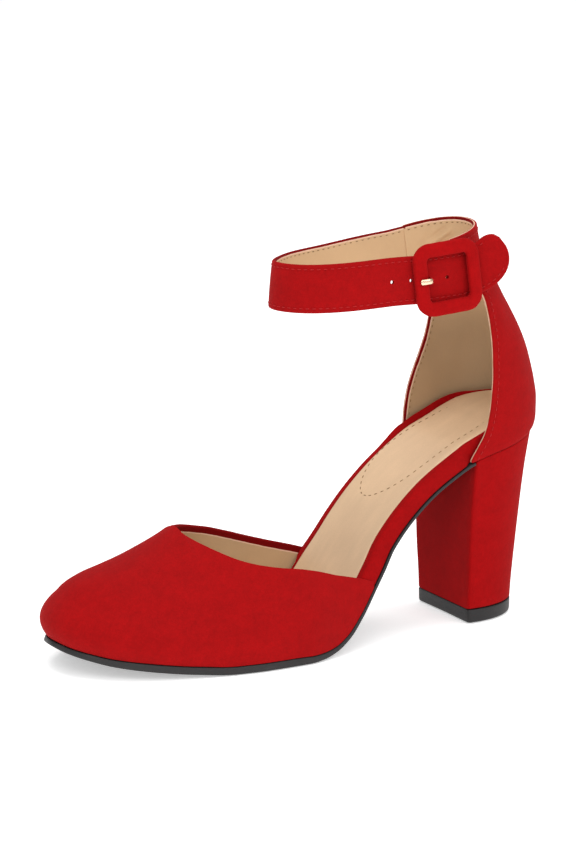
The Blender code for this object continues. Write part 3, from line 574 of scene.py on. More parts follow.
class Finish:
    """A material and the nodes that feed its surface shader."""

    def __init__(self, name, metallic=0.0, sheen=0.0, tint=(1, 1, 1), specular=0.5):
        self.mat = bpy.data.materials.new(name)
        self.mat.use_nodes = True
        self.nodes = self.mat.node_tree.nodes
        self.links = self.mat.node_tree.links
        self.shader = self.nodes["Principled BSDF"]
        fixed = {"Metallic": metallic, "Sheen Weight": sheen, "Sheen Roughness": 0.45,
                 "Sheen Tint": (*tint, 1.0), "Specular IOR Level": specular}
        for key, value in fixed.items():
            self.shader.inputs[key].default_value = value
        self.place = self.node("ShaderNodeTexCoord", {}, "Object")

    def node(self, kind, values, out=0, **settings):
        """Add one node: its settings first, then the values or links of its sockets."""
        made = self.nodes.new(kind)
        for key, value in settings.items():
            if key == "stops":
                ramp = made.color_ramp.elements
                while len(ramp) < len(value):
                    ramp.new(0.5)
                for stop, (at, colour) in zip(ramp, value):
                    stop.position = at
                    stop.color = (*colour, 1.0)
            else:
                setattr(made, key, value)
        for key, value in values.items():
            if isinstance(value, Sock):
                self.links.new(value.link, made.inputs[key])
            elif isinstance(value, tuple) and len(value) == 3 and made.inputs[key].type == "RGBA":
                made.inputs[key].default_value = (*value, 1.0)
            else:
                made.inputs[key].default_value = value
        return Sock(self, made.outputs[out])

    def noise(self, scale, detail=2.0, rough=0.5, at=None):
        values = {"Vector": at or self.place, "Scale": scale, "Detail": detail, "Roughness": rough}
        return self.node("ShaderNodeTexNoise", values)

    def stretched(self, x, y, z):
        return self.node("ShaderNodeMapping", {"Vector": self.place, "Scale": (x, y, z)})

    def field(self, name):
        return self.node("ShaderNodeAttribute", {}, "Fac", attribute_name=name)

    def mix(self, share, a, b, blend="MIX"):
        """Colour mix by a share from 0 (a) to 1 (b)."""
        return self.node("ShaderNodeMix", {0: share, 6: a, 7: b}, 2, data_type="RGBA",
                         blend_type=blend)

    def out(self, colour, roughness, height, distance, strength):
        """Connect colour, roughness and bump height (in units of distance)."""
        bump = self.node("ShaderNodeBump", {"Height": height, "Distance": distance,
                                            "Strength": strength})
        for key, value in (("Base Color", colour), ("Roughness", roughness), ("Normal", bump)):
            self.links.new(value.link, self.shader.inputs[key])
        return self.mat


def shade(colour, factor):
    return tuple(min(1.0, c * factor) for c in colour)


def nap(finish, colour):
    """Suede colour, bump height and tone from four sizes of noise, fibres to brushed patches."""
    fine = finish.noise(2600.0, 3.0, 0.65)
    grain = finish.noise(900.0, 2.0, 0.55)
    mid = finish.noise(330.0, 3.0, 0.6)
    brushed = finish.noise(85.0, 3.0, 0.6, finish.stretched(1.0, 1.0, 1.7))
    tone = fine * 0.2 + grain * 0.25 + mid * 0.27 + brushed * 0.28
    low = shade(colour, 0.86)
    high = shade(colour, 1.16)
    tint = finish.node("ShaderNodeValToRGB", {"Fac": tone}, 0,
                       stops=((0.37, low), (0.50, colour), (0.64, high)))
    height = fine * 0.6 + grain * 0.4
    return tint, height, tone


def suede(name, colour):
    """Red suede all over a piece."""
    f = Finish(name, sheen=0.10, tint=(1.0, 0.12, 0.12), specular=0.05)
    tint, height, tone = nap(f, colour)
    return f.out(tint, 0.86 + tone * 0.14, height, 0.00022, 0.55)


def lined_suede(name, colour, lining, seam, band, groove=0.0, low=1.0):
    """Upper: suede outside, lining inside, darker turned-over band (mm) and a pale cut edge line.

    The point fields inner (0 outside, 1 inside) and edge_mm (distance to the free edge) say
    where. groove is the depth of the stitch line; low is painted shade that darkens the
    lining below the ankle.
    """
    f = Finish(name, sheen=0.08, tint=(1.0, 0.12, 0.12), specular=0.08)
    tint, height, tone = nap(f, colour)
    inner, edge_mm = f.field("inner"), f.field("edge_mm")
    ragged = edge_mm + f.noise(210.0, 2.0) * 0.35
    inside = inner.step(0.38, 0.55)
    past = ragged.step(band, band + 0.15)
    lined = inside * past
    pale = lined * (1 - ragged.step(band + 0.5, band + 0.65))
    pores = f.noise(1500.0, 3.0, 0.6)
    cloud = f.noise(60.0, 3.0, 0.55)
    leather = f.mix(cloud * 0.55 + pores * 0.3, shade(lining, 0.86), shade(lining, 1.1))
    # painted shade: below the ankle the lining is multiplied by low, for the shade cast by the
    # strap and buckle
    if low < 1.0:
        height_of = f.node("ShaderNodeSeparateXYZ", {"Vector": f.place}, "Z")
        deep = f.mix(1.0, leather, (low, low, low), "MULTIPLY")
        leather = f.mix(height_of.step(0.118, 0.146), deep, leather)
    turned = f.mix(inner.step(0.1, 0.6) * (1 - past), tint, shade(colour, 0.55))
    body = f.mix(pale * 0.8, f.mix(lined, turned, leather), seam)
    crease = f.noise(330.0, 4.0, 0.62, f.stretched(1.0, 1.0, 0.45))
    bump = height * (1 - lined) + (pores * 0.25 + crease * 0.5) * lined
    bump = bump + (1 - (edge_mm - 1.95).absolute().step(0.0, 0.75)) * (1 - inside) * -groove
    rough = (0.86 + tone * 0.14) * (1 - lined) + (0.46 + pores * 0.16) * lined
    return f.out(body, rough, bump, 0.00022, 0.5)


def smooth_leather(name, colour):
    """Sock lining: fine pores, long soft brushing along the shoe, faint clouds."""
    f = Finish(name, specular=0.4)
    pores = f.noise(1700.0, 3.0, 0.6)
    cloud = f.noise(45.0, 3.0, 0.5)
    streak = f.noise(190.0, 3.0, 0.55, f.stretched(0.25, 1.0, 0.25))
    tone = pores * 0.3 + cloud * 0.4 + streak * 0.3
    body = f.mix(tone.step(0.3, 0.72), shade(colour, 0.90), shade(colour, 1.09))
    return f.out(body, 0.38 + tone * 0.16, pores * 0.5 + streak * 0.4, 0.00012, 0.35)


def rubber(name, colour, scale=1400.0):
    """Black sole: fine moulded grain with faint scuffs along the edge."""
    f = Finish(name, specular=0.4)
    grain = f.noise(scale, 2.0, 0.5)
    scuff = f.noise(120.0, 4.0, 0.6, f.stretched(0.6, 0.6, 3.0))
    body = f.mix(scuff.step(0.55, 0.8), colour, shade(colour, 2.1))
    return f.out(body, 0.42 + grain * 0.22, grain + scuff * 0.3, 0.00015, 0.45)


def gold(name, colour):
    """Plated metal with fine polishing lines and softly varying gloss."""
    f = Finish(name, metallic=1.0)
    lines = f.noise(700.0, 2.0, 0.5, f.stretched(0.15, 1.0, 1.0))
    cloud = f.noise(240.0, 2.0)
    body = f.mix(cloud, shade(colour, 0.9), shade(colour, 1.08))
    return f.out(body, 0.16 + lines * 0.14, lines, 0.00004, 0.4)


def thread(name, colour):
    """Twisted sewing thread."""
    f = Finish(name, sheen=0.05, tint=colour, specular=0.12)
    twist = f.noise(3000.0, 2.0)
    body = f.mix(twist, shade(colour, 0.75), shade(colour, 1.25))
    return f.out(body, 0.5 + twist * 0.2, twist, 0.00008, 0.5)


# ---------------------------------------------------------------- shapes of the pieces


def sole_stations(end=None):
    """Stations along the sole, closer together at its round ends."""
    turn = np.linspace(0, math.pi / 2, 34)
    x = np.concatenate([
        SOLE_START + (30.0 - SOLE_START) * (1 - np.cos(turn)),
        np.linspace(30.0, 190.0, 108)[1:-1],
        SOLE_END - (SOLE_END - 190.0) * (1 - np.cos(turn[::-1])),
    ])
    return x if end is None else np.append(x[x < end - 0.4], end)


def rounded(inset, height, radius, angles):
    """Corners on a small arc at angles from outwards (0) to up (90)."""
    return [(inset + radius * (1 - math.cos(a)), height - radius * (1 - math.sin(a)))
            for a in np.radians(angles)]


def on_sole(side, x, inset, d, share=1.0):
    """Points at an inset from the outline and d over the underside, moved inwards by share."""
    px, py = edge(side, x, inset)
    qx, qz = layer(px, d)
    return np.stack([qx, py * share, qz], -1)


def slab(name, profile, kind, node, cup=0.0, end=None):
    """Sheet on the sole profile.

    At every station the section goes round the edge through the profile's corners, each an
    inset and a height over the underside, then over the top in a shallow cup whose depth
    falls with the square of the distance from the middle, and straight back underneath.
    """
    x = sole_stations(end)
    sides = []
    for side in (-1, 1):
        corners = profile(x, side)
        ring = [on_sole(side, x, inset, d) for inset, d in corners]
        inset, d = corners[-1]
        ring += [on_sole(side, x, inset, d - cup * (1 - share ** 2), share)
                 for share in np.linspace(1, 0, 15)[1:-1]]
        sides.append(ring)
    px = (edge(-1, x, inset)[0] + edge(1, x, inset)[0]) / 2
    qx, qz = layer(px, d - cup)
    middle = np.stack([qx, 0 * x, qz], -1)
    inset, d = corners[0]
    under = [on_sole(np.sign(share) or 1, x, inset, d, abs(share))
             for share in np.linspace(1, -1, 15)[1:-1]]
    loops = np.stack(sides[0] + [middle] + sides[1][::-1] + under, 1)
    return loft(name, loops, kind, node, 42, end=end is not None)


def plan_row(x_start, back_x, centre_x, width, shares, side):
    """Half of a U in plan from the back middle forward to x_start, at shares of its length."""
    ang = np.linspace(0, 1, 400) * math.pi / 2
    a = back_x - centre_x
    x = centre_x + a * np.cos(ang)
    y = width * np.sin(ang)
    if x_start < centre_x:
        x = np.append(x, x_start)
        y = np.append(y, width)
    else:
        keep = x > x_start
        y_end = width * math.sqrt(1 - ((x_start - centre_x) / a) ** 2)
        x = np.append(x[keep], x_start)
        y = np.append(y[keep], y_end)
    return at_length(np.stack([x, side * y], -1), shares)


def quarter_surface(rows, cols):
    """Grid up the back part; each row runs from the lateral front round the heel.

    A row is half an ellipse round the heel with a straight run forward on each side. Its
    height goes evenly with the distance forward from the back, and stays over the seat.
    """
    base = np.arange(len(QUARTER["back_x"]), dtype=float)
    level = np.linspace(0, base[-1], rows)
    level = np.unique(np.concatenate([level, base[-1] - np.array([0.02, 0.06, 0.12, 0.2])]))
    t = {name: smooth(base, QUARTER[name], level) for name in QUARTER}
    rows = len(level)
    tight = 1 - (1 - np.linspace(0, 1, cols)) ** 1.35
    out = np.zeros((rows, 2 * cols - 1, 3))
    for i in range(rows):
        parts = []
        for side, name in ((-1, "lateral"), (1, "medial")):
            start = t[name + "_x"][i]
            p = plan_row(start, t["back_x"][i], t["centre_x"][i], t[name + "_w"][i], tight, side)
            u = (t["back_x"][i] - p[:, 0]) / (t["back_x"][i] - start)
            z = t["back_z"][i] + (t[name + "_z"][i] - t["back_z"][i]) * u
            seat = layer(p[:, 0], table(LAYERS, "sole", p[:, 0]) + GAP + 0.1)[1]
            z = np.maximum(z, seat + 0.08 * i)
            parts.append(np.column_stack([p, z]))
        out[i, :cols] = parts[0][::-1]
        out[i, cols:] = parts[1][1:]
    return out


def vamp_surface(side, stations, shares):
    """Section curves of one half of the vamp, from the sole edge to the ridge or the collar.

    Every section is a superellipse between the sole edge and its top point, sampled at
    shares of its length. Its height is eased along the shoe low down, so that the peak at the
    throat fades out down the sides. The nose and side walls then stand out over the sole.
    """
    name = "lateral" if side < 0 else "medial"
    sole = table(LAYERS, "sole", stations) + GAP
    px, py = edge(side, stations, 0.25)
    fx, fz = layer(px, sole)
    rise = table(RIDGE, "rise", stations)
    sq = smooth(RIDGE["x"], RIDGE["rise"] ** 2, stations)
    rise = np.where(stations < 16, np.sqrt(np.maximum(sq, 0)), rise)
    out = np.zeros((len(stations), len(shares), 3))
    s = np.linspace(0, 1, 160)
    power = table(ROUND, "power", stations)
    w = np.abs(py)
    cy = table(COLLAR, name + "_y", stations)
    cz = table(COLLAR, name + "_z", stations)
    is_open = stations > THROAT_X
    ratio = np.clip(cy / np.maximum(w, 1e-9), 0, 1) ** (power / 2)
    top = np.where(is_open, np.maximum(np.arccos(ratio), 0.12), math.pi / 2)
    high = np.where(is_open, np.maximum(cz - fz, 0.4) / np.sin(top) ** (2 / power), rise)
    calm = eased(stations, high, 7.0)
    share = np.clip((stations - 30) / 12, 0, 1) * np.clip((118 - stations) / 30, 0, 1)
    calm = high + (calm - high) * share
    for i, x in enumerate(stations):
        ang = s * top[i]
        y = w[i] * np.abs(np.cos(ang)) ** (2 / power[i])
        if is_open[i]:
            y = w[i] + (y - w[i]) * (w[i] - cy[i]) / max(w[i] - y[-1], 1e-9)
        z = (high[i] + (calm[i] - high[i]) * (1 - s ** 4)) * np.sin(ang) ** (2 / power[i])
        line = at_length(np.stack([y, z], -1), shares)
        out[i, :, 0] = fx[i]
        out[i, :, 1] = side * line[:, 0]
        out[i, :, 2] = fz[i] + line[:, 1]
    rel = np.clip((out[..., 2] - fz[:, None]) / NOSE_HIGH, 0, 1)
    fade = 1 - smooth([-2, 12, 60, 100, 130], [0, 0, 0.72, 0.85, 1.0], stations)[:, None]
    push = NOSE_OUT * np.sin(math.pi * rel ** 0.85) * fade
    dx = np.minimum(out[..., 0] - 46.0, 0) / 46.0 ** 2
    dy = out[..., 1] / 38.0 ** 2
    size = np.maximum(np.hypot(dx, dy), 1e-9)
    out[..., 0] += push * dx / size
    out[..., 1] += push * dy / size
    return out


def strap_line(count):
    """Centre line of the strap with its width and outward directions."""
    path = spline(np.column_stack([STRAP["x"], STRAP["y"], STRAP["z"]]), count)
    t = unit(np.gradient(path, axis=0))
    flat = -unit(np.column_stack([-t[:, 1], t[:, 0], 0 * t[:, 0]]))
    up = np.array([0, 0, 1.0]) - STRAP_LEAN * flat
    up = unit(up - t * np.sum(up * t, axis=1, keepdims=True))
    return path, up, np.cross(t, up)


def round_end(s, length):
    """Share of the half width left near the end of a run s, over the last length."""
    near = np.clip((s - (s[-1] - length)) / length, 0, 1)
    return (1 - near ** 2.15) ** (1 / 2.15)


def frame_axes():
    """Axes of the buckle: along the strap, outwards, up."""
    a = math.radians(FRAME_TURN)
    along = np.array([math.cos(a), 0.0, math.sin(a)])
    up = unit(np.array([-math.sin(a), FRAME_LEAN, math.cos(a)]))
    return along, np.cross(along, up), up


def at_frame(points):
    """Plan points from buckle coordinates: along, outwards, up."""
    p = np.array(points, float)
    p[..., 1] = p[..., 1] - 0.0035 * p[..., 0] ** 2
    return p @ np.array(frame_axes()) + np.array(FRAME_CENTRE)


# ---------------------------------------------------------------- settings


class PumpColours(bpy.types.PropertyGroup):
    """Colours of the finishes."""

    suede: bpy.props.FloatVectorProperty(
        name="Suede", description="Colour of the suede", subtype="COLOR", size=3,
        default=(0.290, 0.0028, 0.0036), min=0.0, max=1.0)
    lining: bpy.props.FloatVectorProperty(
        name="Lining", description="Colour of the upper's lining", subtype="COLOR", size=3,
        default=(0.54, 0.36, 0.205), min=0.0, max=1.0)
    sock: bpy.props.FloatVectorProperty(
        name="Sock", description="Colour of the sock lining", subtype="COLOR", size=3,
        default=(0.63, 0.43, 0.262), min=0.0, max=1.0)
    edge: bpy.props.FloatVectorProperty(
        name="Cut edge", description="Colour of the pale line where the lining is turned",
        subtype="COLOR", size=3, default=(0.80, 0.53, 0.40), min=0.0, max=1.0)
    sole: bpy.props.FloatVectorProperty(
        name="Sole", description="Colour of the outsole and heel tip", subtype="COLOR", size=3,
        default=(0.012, 0.011, 0.0115), min=0.0, max=1.0)
    metal: bpy.props.FloatVectorProperty(
        name="Metal", description="Colour of the prong and bar", subtype="COLOR", size=3,
        default=(0.86, 0.64, 0.44), min=0.0, max=1.0)
    stitch: bpy.props.FloatVectorProperty(
        name="Upper thread", description="Colour of the thread on the suede", subtype="COLOR",
        size=3, default=(0.36, 0.011, 0.012), min=0.0, max=1.0)
    sock_stitch: bpy.props.FloatVectorProperty(
        name="Sock thread", description="Colour of the thread on the lining", subtype="COLOR",
        size=3, default=(0.20, 0.115, 0.05), min=0.0, max=1.0)


class PumpSizes(bpy.types.PropertyGroup):
    """Sizes that a maker would change."""

    wall: bpy.props.FloatProperty(
        name="Wall", description="Thickness of the upper", default=0.0018, min=0.001, max=0.003,
        unit="LENGTH", subtype="DISTANCE")
    strap_width: bpy.props.FloatProperty(
        name="Strap width", description="Width of the ankle strap", default=0.0194, min=0.01,
        max=0.03, unit="LENGTH", subtype="DISTANCE")
    strap_thick: bpy.props.FloatProperty(
        name="Strap thickness", description="Thickness of the ankle strap", default=0.0019,
        min=0.001, max=0.004, unit="LENGTH", subtype="DISTANCE")
    band: bpy.props.FloatProperty(
        name="Turned edge", description="Width of the suede turned over the vamp's collar",
        default=0.0024, min=0.0, max=0.01, unit="LENGTH", subtype="DISTANCE")
    seam_in: bpy.props.FloatProperty(
        name="Seam inset", description="Distance of the stitching from an edge",
        default=0.0019, min=0.001, max=0.01, unit="LENGTH", subtype="DISTANCE")
    stitch_pitch: bpy.props.FloatProperty(
        name="Stitch pitch", description="Distance from stitch to stitch", default=0.0027,
        min=0.001, max=0.01, unit="LENGTH", subtype="DISTANCE")


def sizes(name):
    """A size in millimetres."""
    return getattr(bpy.context.scene.pump_sizes, name) / MM


def finish(kind):
    """Shared materials, made once."""
    made = bpy.data.materials.get(kind)
    if made:
        return made
    look = {name: tuple(getattr(bpy.context.scene.pump_colours, name))
            for name in PumpColours.__annotations__}
    red, lining, cut_edge, black = look["suede"], look["lining"], look["edge"], look["sole"]
    makers = {
        "suede_cover": (suede, red),
        "suede_buckle": (suede, shade(red, 1.04)),
        "suede_board": (suede, shade(red, 0.93)),
        "vamp_suede_and_lining": (lined_suede, red, lining, cut_edge, sizes("band")),
        # painted light and shade: the quarter's lining is a lighter copy of the lining for the
        # light from above, and 0.72 is painted shade below the ankle
        "quarter_suede_and_lining": (lined_suede, red, shade(lining, 1.1), cut_edge, 0.0, 0.9,
                                     0.72),
        # painted light: the strap's lining is a lighter copy of the lining for the light from above
        "strap_suede_and_lining": (lined_suede, red, shade(lining, 1.12), cut_edge, 0.8, 0.9),
        "sock_leather": (smooth_leather, look["sock"]),
        "sole_rubber": (rubber, black),
        "tip_rubber": (rubber, shade(black, 0.8), 1800.0),
        "prong_metal": (gold, look["metal"]),
        "upper_thread": (thread, look["stitch"]),
        "lining_thread": (thread, look["sock_stitch"]),
    }
    make, *values = makers[kind]
    return make(kind, *values)


# ---------------------------------------------------------------- operators


class PUMP_OT_outsole(bpy.types.Operator):
    """Build the black sheet sole, flat under the ball and bent up the shank"""

    bl_idname = "pump.outsole"
    bl_label = "Outsole"

    def execute(self, context):
        def section(x, side):
            top = table(LAYERS, "sole", x)
            c = np.minimum(0.45, top * 0.4)
            low = [(c * (1 - math.sin(a)), c * (1 - math.cos(a)))
                   for a in np.radians([0, 30, 60, 90])]
            return low + rounded(0, top, c, [0, 30, 60, 90])

        slab("outsole_sheet", section, "sole_rubber", "outsole",
             end=BREAST_X - GAP)
        return {"FINISHED"}


class PUMP_OT_footbed(bpy.types.Operator):
    """Build the suede covered board with its raised rim, and the sock lining laid in it"""

    bl_idname = "pump.footbed"
    bl_label = "Footbed"

    def execute(self, context):
        def board(x, side):
            low = table(LAYERS, "sole", x) + GAP
            high = table(LAYERS, "bed", x)
            lift = table(RIM_LIFT, "medial", x) * (side > 0)
            inset = table(LAYERS, "board_in", x)
            rim = table(LAYERS, "sock_in", x) - GAP - inset
            c = np.minimum(1.3, rim * 0.48)
            ring = [(inset + 0.5, low), (inset + 0.15, low + 0.15), (inset, low + 0.5)]
            ring += [(inset, low + (high - c - low) * 0.5)]
            ring += rounded(inset, high + lift, c, [0, 25, 50, 75, 90])
            ring += [(inset + rim - 0.25, high + 0.15 * lift), (inset + rim, high - 0.25),
                     (inset + rim, high - 1.5)]
            return ring

        def sock(x, side):
            high = table(LAYERS, "bed", x)
            inset = table(LAYERS, "sock_in", x)
            ring = [(inset + 0.1, high - 1.2), (inset, high - 1.0), (inset, high - 0.45)]
            return ring + rounded(inset, high, 0.45, [30, 60, 90])

        slab("board_cover", board, "suede_board", "insole_board", CUP)
        slab("sock_lining", sock, "sock_leather", "insole", CUP)
        loop = spline(np.column_stack([SOCK_LOOP["x"], SOCK_LOOP["y"]]), 600)
        wide = np.where(loop[:, 1] < 0, half(-1, loop[:, 0]), half(1, loop[:, 0]))
        inset = table(LAYERS, "sock_in", loop[:, 0])
        share = loop[:, 1] / (wide - inset)
        high = table(LAYERS, "bed", loop[:, 0]) - CUP * (1 - share ** 2)
        px, pz = layer(loop[:, 0], high)
        line = np.column_stack([px, loop[:, 1], pz])
        fx, fz = layer(loop[:, 0], high + 1.0)
        normal = unit(np.column_stack([fx, loop[:, 1], fz]) - line)
        stitches("sock_stitches", line, normal, "lining_thread", "sock_beige", *SOCK_STITCH)
        return {"FINISHED"}


class PUMP_OT_heel(bpy.types.Operator):
    """Build the covered heel block, a D section with a flat breast, and its black tip"""

    bl_idname = "pump.heel"
    bl_label = "Heel"

    def execute(self, context):
        share = np.concatenate([[0.0, 0.004, 0.01], np.linspace(0.03, 0.985, 44), [0.995, 1.0]])
        grow = np.array([-0.6, -0.2, 0.0] + [0.0] * 44 + [0.0, -0.15])
        r = BREAST_ROUND
        loops = []
        for f, g in zip(share, grow):
            t = {name: float(smooth(HEEL["share"], HEEL[name], f)) for name in HEEL}
            halves = []
            for side, name in ((-1, "lateral"), (1, "medial")):
                p = plan_row(BREAST_X + r, t["back_x"] + g, t["centre_x"], t[name + "_w"] + g,
                             np.linspace(0, 1, 46), side)
                w = abs(p[-1, 1])
                a = np.radians([22, 45, 68, 90])
                bend = np.column_stack([BREAST_X + r * (1 - np.sin(a)),
                                        side * (w - r * (1 - np.cos(a)))])
                flat = np.column_stack([np.full(9, BREAST_X),
                                        side * np.linspace(w - r, 0, 10)[1:]])
                halves.append(np.concatenate([p, bend, flat]))
            plan = np.concatenate([halves[0][::-1], halves[1][1:-1]])
            top = layer(plan[:, 0], table(LAYERS, "sole", plan[:, 0]))[1]
            z = TIP_HEIGHT + GAP + f * (top - TIP_HEIGHT - GAP)
            loops.append(np.column_stack([plan, z]))
        loft("heel_cover", np.array(loops), "suede_cover", "heel", 50, True, True)
        foot = loops[2]
        mid = np.array([193.0, 0.0])
        d = foot[:, :2] - mid
        size = np.linalg.norm(d, axis=1, keepdims=True)
        rows = []
        for z, g in ((0.0, -0.9), (0.12, -0.55), (0.5, -0.25), (1.2, -0.1), (TIP_HEIGHT - 0.5, 0.0),
                     (TIP_HEIGHT - 0.12, -0.08), (TIP_HEIGHT, -0.3)):
            p = mid + d * (1 + g / size)
            rows.append(np.column_stack([p, np.full(len(p), z)]))
        loft("heel_tip_plate", np.array(rows), "tip_rubber", "heel_tip", 50, True,
             True)
        return {"FINISHED"}


class PUMP_OT_vamp(bpy.types.Operator):
    """Build the closed toe with its lining and folded collar"""

    bl_idname = "pump.vamp"
    bl_label = "Vamp"

    def execute(self, context):
        turn = np.linspace(0, math.pi / 2, 42, endpoint=False)
        stations = np.concatenate([
            SOLE_START + (26.0 - SOLE_START) * (1 - np.cos(turn)),
            np.linspace(26.0, THROAT_X, 26, endpoint=False),
            THROAT_X + (TAIL_X - THROAT_X) * np.linspace(0, 1, 92) ** 1.35,
        ])
        shares = 1 - (1 - np.linspace(0, 1, 44)) ** 1.25
        shares = np.concatenate([[0.0, 0.008], shares[1:]])
        halves = np.stack([vamp_surface(side, stations, shares) for side in (-1, 1)])
        closed = stations <= THROAT_X
        ridge = halves[:, closed, -1].mean(axis=0)
        ridge[:, 1] = 0.0
        halves[:, closed, -1] = ridge
        shape = halves.shape[:3]
        points = halves.reshape(-1, 3)
        faces = np.concatenate([quads(shape[1], shape[2])[:, ::-1],
                                quads(shape[1], shape[2], shape[1] * shape[2])])
        n = grid_normals(points, faces)
        if np.sum(n * (points - points.mean(axis=0))) < 0:
            faces = faces[:, ::-1]
            n = -n
        sag = folds(points, (
            (44, 33, 22, 0.5, 0.1, 1, 12, 5, -0.35),
            (84, -38, 22, 1, 0, 0.45, 16, 5, -0.45),
            (70, -37, 30, 1, 0, 0.25, 15, 4.5, 0.25),
            (96, -37, 16, 1, 0, 0.7, 12, 4, 0.3),
            (62, -30, 40, 1, -0.3, 0.1, 12, 4, -0.2),
            (88, 33, 24, 1, 0, 0.4, 16, 5, -0.4),
            (36, -20, 36, 1, -0.5, 0.2, 13, 5, -0.3),
            (20, -8, 34, 0.3, 1, 0, 10, 6, -0.2),
            (112, -33, 18, 1, 0, 1.0, 9, 4, -0.3),
        ))
        points = points + n * sag[:, None]
        level = np.zeros(shape, bool)
        level[:, :, 0] = True
        pts, quad, inner = wall(points, faces, level.ravel(), sizes("wall"), RIM_BULGE)
        open_part = stations >= THROAT_X
        rim = np.concatenate([halves[0, open_part, -1][::-1], halves[1, open_part, -1][1:]])
        rim = at_length(rim, np.linspace(0, 1, 900))
        fields = {"inner": inner, "edge_mm": from_edge(pts, rim, inner)}
        add_piece("vamp_upper", pts, quad, "vamp_suede_and_lining", "vamp", 75, fields)
        return {"FINISHED"}


class PUMP_OT_quarter(bpy.types.Operator):
    """Build the closed back with its tab, lining and edge stitching"""

    bl_idname = "pump.quarter"
    bl_label = "Quarter"

    def execute(self, context):
        grid = quarter_surface(130, 90)
        rows, cols, _ = grid.shape
        points = grid.reshape(-1, 3)
        faces = quads(rows, cols)
        n = grid_normals(points, faces)
        centre = points * np.array([0.0, 0.0, 1.0]) + np.array([178.0, 0.0, 0.0])
        flip = 1.0
        if np.sum(n * (points - centre)) < 0:
            faces = faces[:, ::-1]
            flip = -1.0
            n = -n
        sag = folds(points, (
            (206, -17, 104, 0.1, 0, 1, 18, 7, -0.35),
            (199, -21, 128, 0.5, 0, 1, 14, 5, -0.3),
            (214, 6, 98, 0, 0, 1, 16, 6, -0.3),
            (190, -27, 118, 0.2, 0, 1, 16, 4, 0.22),
            (196, 22, 112, 0.2, 0, 1, 18, 6, -0.35),
            (182, 24, 152, 0.35, 0, 1, 9, 2.6, -0.4),
            (186, 21, 156, 0.3, 0, 1, 8, 2.2, 0.3),
            (178, -27, 147, 1, 0, 0.6, 9, 3, -0.25),
        ))
        points = points + n * sag[:, None]
        grid = points.reshape(rows, cols, 3)
        level = np.zeros((rows, cols), bool)
        level[0] = True
        pts, quad, inner = wall(points, faces, level.ravel(), sizes("wall"), RIM_BULGE)
        wrinkle = folds(pts, (
            (184.6, 13.0, 157.6, -0.5, 0.62, -0.6, 8, 1.1, 1.1),
            (185.3, 12.1, 156.0, -0.5, 0.62, -0.6, 7, 1.0, -0.9),
            (186.0, 11.2, 154.3, -0.5, 0.62, -0.6, 8, 1.0, 0.85),
            (183.9, 13.9, 159.2, -0.5, 0.62, -0.6, 6, 1.0, -0.8),
            (180.5, 18.5, 157.0, -0.3, 0.4, -0.8, 7, 1.2, -0.4),
            (177.5, 21.0, 153.0, -0.3, 0.3, -0.9, 8, 1.3, 0.3),
        ))
        away = unit(pts - (pts * np.array([0.0, 0.0, 1.0]) + np.array([176.0, 0.0, 0.0])))
        pts = pts - away * (wrinkle * (inner > 0.9))[:, None]
        rim = np.concatenate([grid[:, 0], grid[-1, 1:], grid[::-1, -1][1:]])
        fine = at_length(rim, np.linspace(0, 1, 1400))
        edge_mm = from_edge(pts, fine, inner)
        front = np.clip(0.5 - pts[:, 1] / 6, 0, 1) * np.clip((145 - pts[:, 2]) / 3, 0, 1)
        edge_mm = edge_mm - 0.75 * inner * (1 - front)
        sewn = (pts[:, 0] < 178) & (pts[:, 1] > 15) & (np.abs(pts[:, 2] - 151) < 9.4)
        sewn &= inner > 0.3
        edge_mm = np.where(sewn, np.maximum(edge_mm, 3.0), edge_mm)
        fields = {"inner": inner, "edge_mm": edge_mm}
        add_piece("quarter_upper", pts, quad, "quarter_suede_and_lining", "quarter",
                  75, fields)
        below_band = slice(3, int(rows * 0.66))
        for name, inside, border in (("front", None, grid[below_band, 0]),
                                     ("inner", "quarter_lining_stitches", grid[below_band, -1]),
                                     ("top", "quarter_top_lining_stitches", grid[-1, 3:-3])):
            line, normal = seam_line(grid, border, sizes("seam_in"), flip)
            pitch = sizes("stitch_pitch")
            stitches("quarter_%s_stitches" % name, line, normal, "upper_thread", "upper_red",
                     pitch, *OUTER_STITCH)
            if inside:
                stitches(inside, line - normal * sizes("wall"), -normal, "lining_thread",
                         "upper_red", pitch, *LINING_STITCH)
        return {"FINISHED"}


